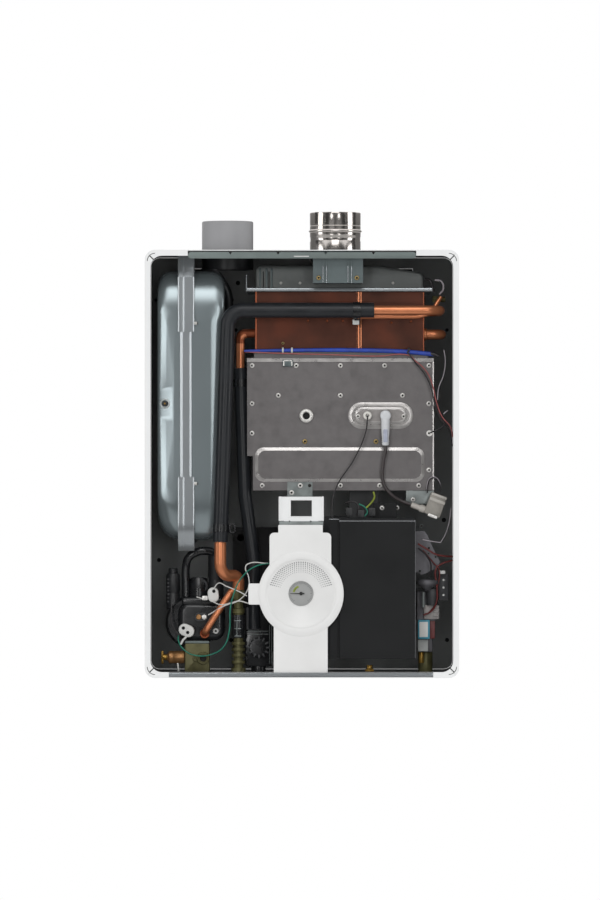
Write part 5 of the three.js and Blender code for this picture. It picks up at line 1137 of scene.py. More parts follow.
class BOILER_OT_pipes(bpy.types.Operator):
    """Bend the copper pipes and slip their foam sleeves and ties on"""

    bl_idname = "boiler.pipes"
    bl_label = "Pipes and sleeves"

    def execute(self, context):
        sizes = context.scene.boiler_sizes
        flow = [(184.4, -180, 230.6), (208, -180, 230.6), (208, -266, 230.6), (-111, -266, 230.6),
                (-122.4, -266, -117), (-122.4, -266, -141)]
        bm = bmesh.new()
        tube(bm, bent(flow, 24, 12), 7.2, sides=28)
        tail = [(-122.4, -266, -118), (-122.4, -266, -168), (-95.5, -240, -168), (-95.5, -240, -189.7)]
        tube(bm, bent(tail, 22, 12), 8.9, sides=28)
        piece("flow_pipe_copper", bm, ["drawn_copper_pipe"], replaces=["flow_pipe"])

        bm = bmesh.new()
        path = bent([(107.2, -266, 230.6), (-111, -266, 230.6), (-122.4, -266, -117)], 24, 14)
        tube(bm, path, 11.3, sides=32)
        turned(
            bm, [(7.3, 0), (11.3, 0), (11.3, 1.2), (7.3, 1.6)], (107.1, -266, 230.6), (1, 0, 0), closed=True
        )
        piece("flow_pipe_foam", bm, ["closed_cell_foam"], replaces=["flow_pipe_sleeve"])

        bm = bmesh.new()
        back = [(-70.9, -222, 197), (-93, -222, 197), (-93, -222, 144.4), (-86, -222, -48),
                (-72.3, -222, -146), (-72.3, -222, -248.7)]
        tube(bm, bent(back, 16, 10), 6.6, sides=28)
        tube(
            bm, bent([(-71, -222, 197), (-93, -222, 197), (-93, -222, 181.5)], 14, 10), 6.7, sides=28, index=1
        )
        piece(
            "return_pipe_copper", bm, ["drawn_copper_pipe", "browned_copper_pipe"], replaces=["return_pipe"],
        )
        bm = bmesh.new()
        tube(bm, bent(back[2:], 16, 10), 10.0, sides=28)
        piece(
            "return_pipe_foam", bm, ["closed_cell_foam"], replaces=["return_pipe_sleeve"]
        )

        bm = bmesh.new()
        bypass = [(-100, -240, -194), (-105.4, -242, -190.5), (-144.6, -248, -251), (-145.9, -231, -255.5)]
        tube(bm, bent(bypass, 7, 10), 5.0, sides=24)
        turned(
            bm, [(4.4, 0), (7.4, 0), (7.4, 1.6), (6.6, 2.4), (5.4, 2.4), (4.4, 2)], (-146.4, -232.4, -256),
            closed=True, steps=28, index=1,
        )
        piece(
            "bypass_pipe_copper", bm, ["drawn_copper_pipe", "browned_copper_pipe"], replaces=["bypass_pipe"],
        )

        bm = bmesh.new()
        second = [seen(441, 297, -225), seen(437, 303, -228), seen(431, 311.6, -232), seen(422, 315.8, -234),
                  seen(405, 316.8, -236), seen(388, 316.6, -237), seen(360, 316.8, -238)]
        tube(bm, second, 3.2, smooth=True, sides=20)
        piece("second_copper_tube", bm, ["drawn_copper_pipe"])

        # Ties: a wide band round each sleeve and its open buckle, and on the first a grey tag below it.
        wide, sheet = sizes.tie_width * 1000, sizes.tie_sheet * 1000
        bm = bmesh.new()
        for centre, axis, radius in (
            ((82.5, -266, 230.6), (1, 0, 0), 11.3),
            ((-121.7, -266, -96.3), (0.03, 0, 1), 11.3),
            ((-92.2, -222, 121.9), (-0.03, 0, 1), 10.0),
        ):
            edge = [(-wide / 2, 0), (-wide / 2, sheet), (wide / 2, sheet), (wide / 2, 0)]
            turned(
                bm, [(radius - 0.1 + out, along) for along, out in edge], centre, axis, steps=36, closed=True
            )
        for low, high in (
            (seen(229, 533, -268), seen(235.4, 523.6, -260)),
            (seen(246.2, 388, -226), seen(252.6, 378.4, -219)),
            (seen(354.5, 320.4, -262), seen(360.5, 315.4, -256)),
        ):
            for x0, x1, z0, z1 in (
                (low.x, high.x, low.z, low.z + 2), (low.x, high.x, high.z - 2, high.z),
                (low.x, low.x + 2.6, low.z, high.z), (high.x - 1.8, high.x, low.z, high.z),
            ):
                block(bm, (x0, low.y, z0), (x1, high.y, z1), axis=1, corner=0.6, rim=0.5, steps=3)
        low, high = seen(352.6, 324.6, -257), seen(359.2, 319.6, -252)
        block(bm, low, high, axis=1, corner=0.8, rim=0.5, steps=3, index=1)
        piece("pipe_ties", bm, ["nylon_cable_tie", "natural_nylon"])
        return {"FINISHED"}


class BOILER_OT_door(bpy.types.Operator):
    """Press the burner door, and set its screws and sight port"""

    bl_idname = "boiler.door"
    bl_label = "Burner door"

    def execute(self, context):
        sizes = context.scene.boiler_sizes
        bm = bmesh.new()
        outline = [
            (198.8, 159.5), (-82.7, 159.5), (-82.7, 11.7), (-73.9, 11.7), (-73.9, -40.3), (198.8, -40.3)
        ]
        pressed(bm, outline, [(-238.5, 0), (-239.7, 0), (-240, 0.4)])
        # The right edge and the panel's rim slope so that they catch the light from the side and above, and
        # are drawn in the pale steel as a painted highlight.
        lip = [(-239.2, 153.2), (-241.4, 153.4), (-241.3, 158.8), (-240.8, 159.4), (-239.2, 159.5)]
        pressed(bm, lip, [(-82.7, 0), (198.8, 0)], index=1, axis=0)
        edge = [(196.9, -239.6), (196.9, -241.1), (198.7, -240.85), (198.8, -239.6)]
        pressed(bm, edge, [(-40.0, 0), (153.8, 0)], index=1, axis=2)
        slope = sizes.emboss_slope * 1000
        panel = rounded((-70.6, -27.1), (184.5, 24.7), 13, 10)
        pressed(bm, panel, [(-239.6, 0), (-240.05, 0.1), (-241.45, slope), (-241.5, slope + 0.3)], index=1)
        pressed(bm, panel, [(-241.0, slope + 0.1), (-241.62, slope + 0.1)])
        piece(
            "burner_door_pressing", bm, ["aluminised_door_steel", "machined_steel_and_painted_highlight"],
            replaces=["burner_door"], sharp=7,
        )
        # A spring clip on the lip, where the two ties of the loom end.
        bm = bmesh.new()
        low, high = seen(282.4, 366.5, -243.4), seen(293.2, 359.6, -241.2)
        block(bm, low, high, axis=1, corner=1.2, rim=0.7, steps=3)
        block(
            bm, (low.x + 2, -243.8, high.z - 2.6), (high.x - 2, -243, high.z - 0.8), axis=0, corner=0.4,
            index=1
        )
        block(bm, (low.x + 1, -243.8, low.z + 1), (low.x + 3, -243, high.z - 2), axis=2, corner=0.4, index=1)
        block(
            bm, (high.x - 3, -243.8, low.z + 1), (high.x - 1, -243, high.z - 2), axis=2, corner=0.4, index=1
        )
        piece("loom_clip", bm, ["aluminised_hanger_steel", "zinc_plated_screw_steel"])

        bm = bmesh.new()
        radius, height = sizes.screw_radius * 1000, sizes.screw_height * 1000
        silver = [(x, 148) for x in (-75.2, -8.6, 58.05, 124.7, 191.3)]
        silver += [(x, -32.7) for x in (-59.9, 58.05, 117, 176)]
        silver += [(x, 103) for x in (-35.5, 58.05, 151.6)]
        silver += [(-75.2, 90.7), (191.3, 90.7), (-75.2, 46.1), (191.3, 46.1), (191.3, -9.3)]
        for x, z in silver:
            screw(bm, (x, -240, z), radius=radius, height=height)
        for x, z in ((4.5, 33.6), (111.6, 33.6)):
            screw(bm, (x, -240, z), radius=radius, height=height, index=2)
        piece(
            "door_screws", bm,
            ["zinc_plated_screw_steel", "screw_socket_painted_shade", "yellow_passivated_screw_steel"],
        )
        bm = bmesh.new()
        turned(
            bm, [(5.3, 0.3), (10.4, 0.3), (10.4, 3.4), (9.6, 4.6), (8.4, 5.2), (7.2, 5.3), (6.0, 5.0),
                 (5.3, 4.2)],
            (6.7, -240, 72.3), closed=True, steps=40,
        )
        turned(bm, [(0, 0.3), (5.4, 0.3), (5.4, 2.4), (2.9, 1.6), (0, 1.4)], (6.7, -240, 72.3), index=1)
        piece(
            "sight_port_ring", bm, ["zinc_plated_screw_steel", "shadow_gap"], replaces=["sight_port"],
        )
        coat_nodes("aluminised_door_steel", "combustion_chamber", "burner")
        coat_nodes("zinc_plated_bracket_steel", "zinc_bracket")
        bm = bmesh.new()
        for px, py in ((300.2, 485.6), (291.5, 492.6)):
            screw(bm, seen(px, py, -243.6), radius=3.9, height=1.6)
        # A near-black disc for the bracket's hole, painted shade.
        turned(
            bm, [(0, 0.0), (2.6, 0.0), (2.6, 0.25), (0, 0.25)], seen(309.7, 485.6, -241.8), index=1, steps=20
        )
        piece("zinc_bracket_screws", bm, ["zinc_plated_screw_steel", "screw_socket_painted_shade"])
        return {"FINISHED"}


class BOILER_OT_igniter(bpy.types.Operator):
    """Machine the igniter plate, and mould its ceramics, its boot and the spark generator"""

    bl_idname = "boiler.igniter"
    bl_label = "Ignition parts"

    def execute(self, context):
        bm = bmesh.new()
        x, z = 118.7, 72.6
        plate = rounded((x - 49, z - 20), (x + 49, z + 20), 19.99, 14)
        pressed(bm, plate, [(-240.3, 0), (-240.6, 0.2), (-241.9, 4.6), (-241.9, 5.6), (-241.4, 6.2)], index=1)
        pad = rounded((x - 40, z - 12.7), (x + 40, z + 12.7), 12.69, 12)
        pressed(bm, pad, [(-241.3, 0), (-244.2, 0.4), (-245.2, 3.4), (-245.2, 4.0), (-244.9, 4.4)], index=1)
        pressed(bm, pad, [(-244.0, 4.2), (-245.0, 4.2)], index=5)
        for px in (358, 403.5):
            screw(bm, seen(px, 416.3, -245.0), radius=3.6, height=1.6, index=2, socket=3)
        turned(bm, [(0, 0), (6, 0), (6, 6.2), (5.4, 7), (0, 7)], (125.7, -245.3, z), index=4)
        piece(
            "igniter_plate_casting", bm,
            ["aluminised_door_steel", "machined_steel_and_painted_highlight", "zinc_plated_screw_steel", "screw_socket_painted_shade",
             "glazed_ceramic", "pale_cast_aluminium"],
            replaces=["igniter_plate"],
        )
        bm = bmesh.new()
        turned(
            bm, [(2.2, 0.3), (6.6, 0.3), (6.6, 5.6), (6.1, 7.4), (5.2, 8.3), (3.4, 8.3), (2.6, 7.4),
                 (2.2, 6.2)],
            (98.6, -245.3, z), closed=True,
        )
        turned(bm, [(0, 0.3), (1.5, 0.3), (1.5, 10.4), (0, 10.8)], (98.6, -245.3, z), index=1, steps=16)
        piece(
            "flame_rod_ceramic", bm, ["glazed_ceramic", "zinc_plated_screw_steel"], replaces=["flame_rod"],
        )

        bm = bmesh.new()
        turned(
            bm, [(6.4, 0.3), (7.6, 0.3), (8.2, 1.4), (8.2, 10.8), (7.4, 12.8), (5.6, 13.8), (3.8, 14),
                 (0, 14.0), (0, 8), (6.4, 8)],
            (125.7, -245.3, z), steps=40, closed=True,
        )
        y = -252.45
        turned(
            bm,
            [(0, 0), (6.5, 0), (6.8, 5), (6.6, 12), (6.0, 26), (5.3, 34), (5.1, 43), (4.6, 44.6),
             (2.8, 45.2), (0, 45.2)],
            (125.7, y, z), (0, 0, -1), steps=36,
        )
        for drop in (36.4, 39.2, 42):
            turned(
                bm, [(4.9, -0.6), (5.7, -0.3), (5.7, 0.3), (4.9, 0.6)], (125.7, y, z - drop), (0, 0, -1),
                closed=True
            )
        block(bm, (122.4, -259.1, 32.5), (129.0, -255.5, 52), axis=1, corner=1.6, rim=0.8, steps=4, index=1)
        piece(
            "ignition_boot_moulding", bm, ["silicone_rubber", "smoked_silicone"], replaces=["ignition_boot"],
        )

        # Spark generator, hung askew: a potted box with a nozzle for the lead.
        bm = bmesh.new()
        block(bm, (-12.5, -16, -17), (12.5, 17, 17), axis=1, corner=3, rim=1.6, steps=4, place=SPARK_TILT)
        for low, high in ((12.6, 16.4), (4.4, 9.0)):
            block(
                bm, (-11.5, -17.3, low), (12.7, 5, high), axis=1, corner=1.2, rim=0.8, steps=3,
                place=SPARK_TILT, index=1
            )
        block(
            bm, (-9.5, -16.6, -14.5), (8.6, -15.5, 1.2), axis=1, corner=2, rim=0.5, steps=3, place=SPARK_TILT
        )
        block(
            bm, (-6, -17, -19.4), (9, -8, -15), axis=1, corner=1.2, rim=0.6, steps=3, place=SPARK_TILT,
            index=3
        )
        turned(
            bm, [(2.7, 0), (3.9, 0.4), (4.2, 3), (4.2, 13), (5.8, 15), (5.8, 20), (4.8, 22), (4.8, 30),
                 (2.7, 30)],
            (-34.5, -9, -12), (1, 0, 0), steps=28, closed=True, place=SPARK_TILT, index=1,
        )
        block(bm, (156.8, -238.2, -60.3), (198.8, -236.7, -38.3), axis=1, corner=2, rim=0.3, steps=3, index=2)
        block(bm, (156.8, -238.2, -39.8), (198.8, -203.2, -38.3), axis=2, corner=2, rim=0.3, steps=3, index=2)
        for px, py in ((413, 499.6), (397, 507.7)):
            screw(bm, seen(px, py, -238.2), radius=3.6, height=1.8, index=3, socket=4)
        piece(
            "spark_generator_potting", bm,
            ["beige_phenolic", "pale_phenolic", "zinc_plated_bracket_steel", "zinc_plated_screw_steel",
             "screw_socket_painted_shade"],
            replaces=["spark_generator"],
        )

        # Its two supply leads leave the top in a loop.
        bm = bmesh.new()
        for spread, radius, index in ((0.0, 0.75, 0), (2.4, 0.9, 1)):
            loop = [(427.4, 493), (427.2 + spread / 3, 484 + spread / 3), (430.6, 477.6 + spread / 2),
                    (435.6 - spread / 4, 477.4 + spread / 3), (439.6 - spread / 3, 482.4), (440.6, 488),
                    (440.2, 492.6)]
            tube(
                bm, [seen(px, py, -244 - spread) for px, py in loop], radius, smooth=True, sides=10,
                index=index
            )
        piece("generator_leads", bm, ["grey_pvc", "black_pvc"])
        return {"FINISHED"}


class BOILER_OT_control_box(bpy.types.Operator):
    """Coat the control box and fold its lid"""

    bl_idname = "boiler.control_box"
    bl_label = "Control box"

    def execute(self, context):
        coat_nodes("satin_black_paint", "control_box")
        coat_nodes("circuit_board_green", "circuit_board")
        bm = bmesh.new()
        pressed(
            bm, rounded((56, -291.8), (169.9, -84.5), 1.6, 4),
            [(-288.3, 0), (-289.7, 0), (-290.1, 0.25), (-290.3, 0.8)],
        )
        block(bm, (58.6, -288.6, -289.2), (167.3, -283.2, -87.1), axis=1, corner=1, steps=2)
        # The fold along the top edge and the thin one down the right side, in pale grey as a painted
        # highlight.
        fold = [(-288.6, -86.2), (-290.4, -86.1), (-290.0, -84.5), (-288.6, -84.3)]
        pressed(bm, fold, [(56.4, 0), (169.6, 0)], index=1, axis=0)
        fold = [(-286.6, -83.4), (-288.2, -83.2), (-287.9, -81.9), (-286.6, -81.6)]
        pressed(bm, fold, [(40.4, 0), (55.4, 0)], index=1, axis=0)
        block(bm, (169.5, -290.3, -291.0), (169.95, -289.4, -85.2), axis=2, corner=0.2, steps=2, index=1)
        piece(
            "control_lid_folded", bm, ["satin_black_paint", "lid_fold_painted_highlight"], replaces=["control_lid"],
            sharp=7,
        )
        bm = bmesh.new()
        # The ridges of the wire channel on the left of the lid.
        block(bm, (53.4, -289.2, -290), (55.2, -287.6, -84), axis=2, corner=0.5, steps=2)
        block(bm, (41.0, -288.6, -290), (42.0, -287.6, -84), axis=2, corner=0.4, steps=2)
        piece("wire_channel_ridges", bm, ["satin_black_paint"])
        bm = bmesh.new()
        screw(bm, seen(382, 508, -246.5), radius=3.8, height=2.0, index=1, socket=2)
        for px, py in ((349, 512), (361, 514), (372, 512)):
            where = seen(px, py, -262)
            block(
                bm, where - Vector((5, 6, 6)), where + Vector((5, 6, 6)), axis=1, corner=1.2, rim=0.6, steps=3
            )
        piece(
            "top_connectors", bm, ["motor_black_plastic", "zinc_plated_screw_steel", "screw_socket_painted_shade"],
        )
        return {"FINISHED"}


class BOILER_OT_gauge(bpy.types.Operator):
    """Mould the gauge cover, print the dial and set the needle"""

    bl_idname = "boiler.gauge"
    bl_label = "Pressure gauge"

    def execute(self, context):
        x, z = -1.3, -194.3
        bm = bmesh.new()
        for low, high, corner in (
            ((-48.4, z - 9), (43.9, -102.7), 7), ((-42.1, -313.6), (38.6, z), 1.5),
            ((-80, -210.4), (x, -178.7), 2.5), ((-35.3, z), (31.3, -91.1), 1.5),
        ):
            pressed(
                bm, rounded(low, high, corner, 6), [(-296.5, 0), (-297.4, 0), (-297.8, 0.25), (-297.9, 0.7)]
            )
        panel = piece("gauge_cover_plate", bm, ["moulded_white_abs"])
        hole = bmesh.new()
        bar(hole, (x, -320, z), (x, -280, z), 52.0, sides=96)
        carve(panel, hole)
        bm = bmesh.new()
        # Radius and distance before y = -298: the swelling ring, its inner step, the sunk cone and the
        # dial's lip.
        rings = [(63.8, -1.5), (63.8, 0), (63.0, 0.5), (60.6, 1.1), (57.6, 1.6), (54.8, 1.7), (52.8, 1.3),
                 (51.6, 0.6), (50.8, -0.5), (49.8, -1.1), (48.0, -1.7), (22.6, -12.4), (20.6, -13.4),
                 (19.5, -13.9), (19.4, -15.5), (21.4, -15.5), (53.8, -1.5)]
        turned(bm, rings, (x, -298, z), steps=96, closed=True)
        # Slots in the upper half of the cone, in rows that grow fainter inward.
        fall = 10.7 / 25.4
        for row in range(6):
            radius, long = 47.2 - 2.9 * row, 1.15 - 0.1 * row
            count = 37 - 2 * row
            for i in range(count):
                angle = math.radians(15 + 150 * (i + 0.5) / count)
                where = Vector((math.cos(angle), 0, math.sin(angle))) * radius
                where += Vector((x, -296.3 + (48.0 - radius) * fall - 0.05, z))
                turn = Matrix.Translation(where) @ Matrix.Rotation(-angle, 4, "Y")
                turn = turn @ Matrix.Rotation(-math.atan(fall), 4, "Z")
                half = 0.75 - 0.07 * row
                block(bm, (-long, -0.12, -half), (long, 0.6, half), axis=1, place=turn, index=1)
        piece(
            "gauge_cover_moulding", bm, ["moulded_white_abs", "slot_shadow_plastic"],
            replaces=["gauge_cover"],
        )
        bm = bmesh.new()
        can = [(19.4, -278.2), (0, -278.2), (0, -261.2), (21, -261.2), (21, -283.2), (19.4, -283.2)]
        turned(bm, can, (x, 0, z), (0, 1, 0), steps=64)
        bezel = [(18.7, -283.1), (20.9, -283.1), (20.9, -281.0), (18.7, -278.4)]
        turned(bm, bezel, (x, 0, z), (0, 1, 0), steps=64, closed=True, index=1)
        tick = context.scene.boiler_sizes.dial_tick * 1000
        for i in range(31):
            angle = math.radians(225 - 9 * i)
            reach = tick if i % 5 == 0 else tick * 0.55
            spot = Matrix.Translation((x, -278.3, z)) @ Matrix.Rotation(-angle, 4, "Y")
            block(bm, (16.6 - reach, -0.12, -0.28), (16.6, 0.05, 0.28), axis=1, place=spot, index=2)
        for i in range(14):
            angle = math.radians(112 + 4.2 * i)
            spot = Matrix.Translation((x, -278.3, z)) @ Matrix.Rotation(-angle, 4, "Y")
            block(bm, (9.6, -0.1, -0.5), (12.6, 0.05, 0.5), axis=1, place=spot, index=3)
        piece(
            "pressure_gauge_dial", bm,
            ["dial_aluminium", "moulded_white_abs", "printed_dial_ink", "printed_dial_green"],
            replaces=["pressure_gauge"],
        )
        bm = bmesh.new()
        block(bm, (x - 16, -280.1, z - 0.55), (x + 5, -279.4, z + 0.55), axis=1, rim=0.1,
              shape=lambda co: Vector((co.x, co.y, z + (co.z - z) * (0.7 if co.x < x else 1.7))))
        turned(bm, [(0, 0), (2.6, 0), (2.6, 1.2), (2.1, 1.8), (0, 1.8)], (x, -278.5, z), steps=24)
        piece(
            "gauge_needle_lacquered", bm, ["needle_lacquer"], body="pointer", replaces=["gauge_needle"],
        )

        coat_nodes("white_painted_bracket_steel", "cover_bracket")
        bm = bmesh.new()
        low, high = seen(279.2, 525.6, -297.2), seen(323.4, 521.2, -296.0)
        block(bm, low, high, axis=0, corner=0.5, rim=0.3, steps=3, index=1)
        for px in (289.5, 310.8):
            screw(bm, seen(px, 521.6, -297.0), radius=1.5, height=0.8, index=1, socket=2)
        for px in (279.4, 322.0):
            low, high = seen(px, 521, -297.4), seen(px + 1.6, 496.4, -296.0)
            block(bm, low, high, axis=2, corner=0.5, rim=0.3, steps=3)
        block(bm, (-19.0, -296.9, -80.7), (17.3, -296.0, -78.7), axis=0, corner=0.4, steps=2)
        block(bm, (-19.0, -296.9, -54.1), (17.3, -296.0, -52.1), axis=0, corner=0.4, steps=2)
        piece(
            "cover_bracket_rims", bm,
            ["white_painted_bracket_steel", "zinc_plated_bracket_steel", "screw_socket_painted_shade"],
        )
        return {"FINISHED"}


class BOILER_OT_water_group(bpy.types.Operator):
    """Mould the water block with its pump, vent and diverter, and its sensor clips"""

    bl_idname = "boiler.water_group"
    bl_label = "Water block"

    def execute(self, context):
        bm = bmesh.new()
        block(bm, (-187.0, -229.5, -266.3), (-116.1, -186.5, -209.0), axis=1, corner=16, rim=9, steps=10)
        turned(
            bm, [(0, 0), (34, 0), (39.6, 3), (39.9, 6), (39.9, 50), (36, 56.5), (0, 56.8)],
            (-166, -165.1, -239.1), steps=48,
        )
        block(bm, (-181, -229, -214), (-120, -205, -200.6), axis=0, corner=6, rim=3, steps=8)
        bar(bm, seen(198.5, 578, -205), seen(198.5, 604, -212), 14, rim=3, sides=36)
        turned(
            bm, [(8, 0), (11, 0), (11, 3), (9.6, 4), (8, 3.4)], seen(200.5, 586, -214), closed=True, index=3
        )
        for i in range(7):
            z = -176.0 - 5.6 * i
            block(bm, (-204, -216.5, z), (-189, -204, z + 2.8), axis=2, corner=2, rim=0.8, steps=4, index=3)
        # A rubber hose arches from the block's top to the head of the diverter.
        arc = [(-175, -212, -204), (-175.4, -212, -178), seen(186, 566, -212), seen(188.5, 558, -214),
               seen(196, 552.6, -215), seen(205, 550.8, -214), (-134, -211, -135), (-130, -210, -142)]
        tube(bm, arc, 6.2, smooth=True, sides=24)
        piece(
            "water_block_moulding", bm,
            ["glass_filled_nylon", "zinc_plated_screw_steel", "screw_socket_painted_shade", "ribbed_grey_plastic"],
            replaces=["water_block"],
        )
        bm = bmesh.new()
        vent = (-194.7, -208, -219.5)
        turned(
            bm, [(0, 0), (9.4, 0), (10.5, 1.5), (10.5, 22), (9.9, 23), (9.9, 26), (10.5, 27), (10.5, 50),
                 (9, 53.6), (7, 54.4), (7, 60.6), (6, 62), (0, 62)],
            vent, (0, 0, 1), steps=36,
        )
        piece("air_vent_moulding", bm, ["motor_black_plastic"], replaces=["air_vent"])
        bm = bmesh.new()
        turned(
            bm, [(3, 0), (15, 0), (15, 3.4), (14.2, 4), (11.8, 4.4), (11.8, 30), (10.8, 32), (10.8, 36),
                 (11.8, 38), (11.8, 70), (9, 73.6), (0, 74)],
            (-130, -210, -209.5), (0, 0, 1), steps=36,
        )
        piece(
            "diverter_motor_moulding", bm, ["motor_black_plastic"], replaces=["diverter_motor"],
        )

        # White oval sensor plugs with dark sockets whose floors are painted shade, their silver pins, and the
        # thermistor's clip.
        bm = bmesh.new()
        for px, py, half, lean, sockets in (
            (213.2, 594.8, (8.4, 11.4), 0.08, ((1.5, 5.4),)),
            (186.4, 630.4, (12.2, 9.2), -0.4, ((-5.6, 1.6), (3.0, -2.0))),
        ):
            spot = Matrix.Translation(seen(px, py, -238)) @ Matrix.Rotation(-lean, 4, "Y")
            oval = rounded((-half[0], -half[1]), half, min(half) - 0.05, 10)
            pressed(bm, oval, [(3, 0), (-1.4, 0), (-2.6, 0.7), (-3.2, 2.2)], place=spot)
            for along, up in sockets:
                dip = [(1.5, -0.6), (2.6, -0.6), (2.6, 0.4), (1.5, 0.4)]
                turned(bm, dip, (along, -3.0, up), closed=True, steps=18, index=2, place=spot)
                turned(
                    bm, [(0, -0.6), (1.5, -0.6), (1.5, 0.2), (0, 0.2)], (along, -3.0, up), steps=18, index=3,
                    place=spot
                )
            bar(bm, (0, 2, 0), (0, 12, 0), 5.2, place=spot, index=2)
        tube(
            bm, [seen(196.8, 597, -236), seen(202, 598.6, -238), seen(208, 598, -238)], 1.0, sides=12, index=1
        )
        block(bm, seen(202, 600.2, -240), seen(207.6, 595.8, -237), axis=1, corner=1, rim=0.5, index=1)
        tube(bm, [seen(187, 636, -238), seen(183, 640, -240), seen(180.6, 644.4, -240)], 1.7, sides=14)
        # A ring of dull metal holds the thermistor, its nut beside it.
        place = Matrix.Translation(seen(201.2, 617, -232.6))
        ring = rounded((-10.1, -6.6), (10.1, 6.6), 6.55, 10)
        pressed(bm, ring, [(3.4, 0), (0.4, 0), (-0.4, 0.5), (-0.4, 1.7), (0.3, 2.3)], index=4, place=place)
        turned(
            bm, [(0, 0), (4, 0), (4, 1.0), (3.2, 1.5), (0, 1.5)], (-3.6, 0, 0), steps=24, index=5, place=place
        )
        bar(bm, (4.6, 0, 0), (4.6, -3.4, 0), 4.0, sides=6, rim=0.4, index=1, place=place)
        screw(bm, seen(215.8, 631, -229.6), radius=4.4, height=2.4, socket=3)
        piece(
            "water_block_sensors", bm,
            ["white_pvc", "zinc_plated_screw_steel", "motor_black_plastic", "screw_socket_painted_shade",
             "ribbed_grey_plastic", "coppery_brass"],
        )
        return {"FINISHED"}


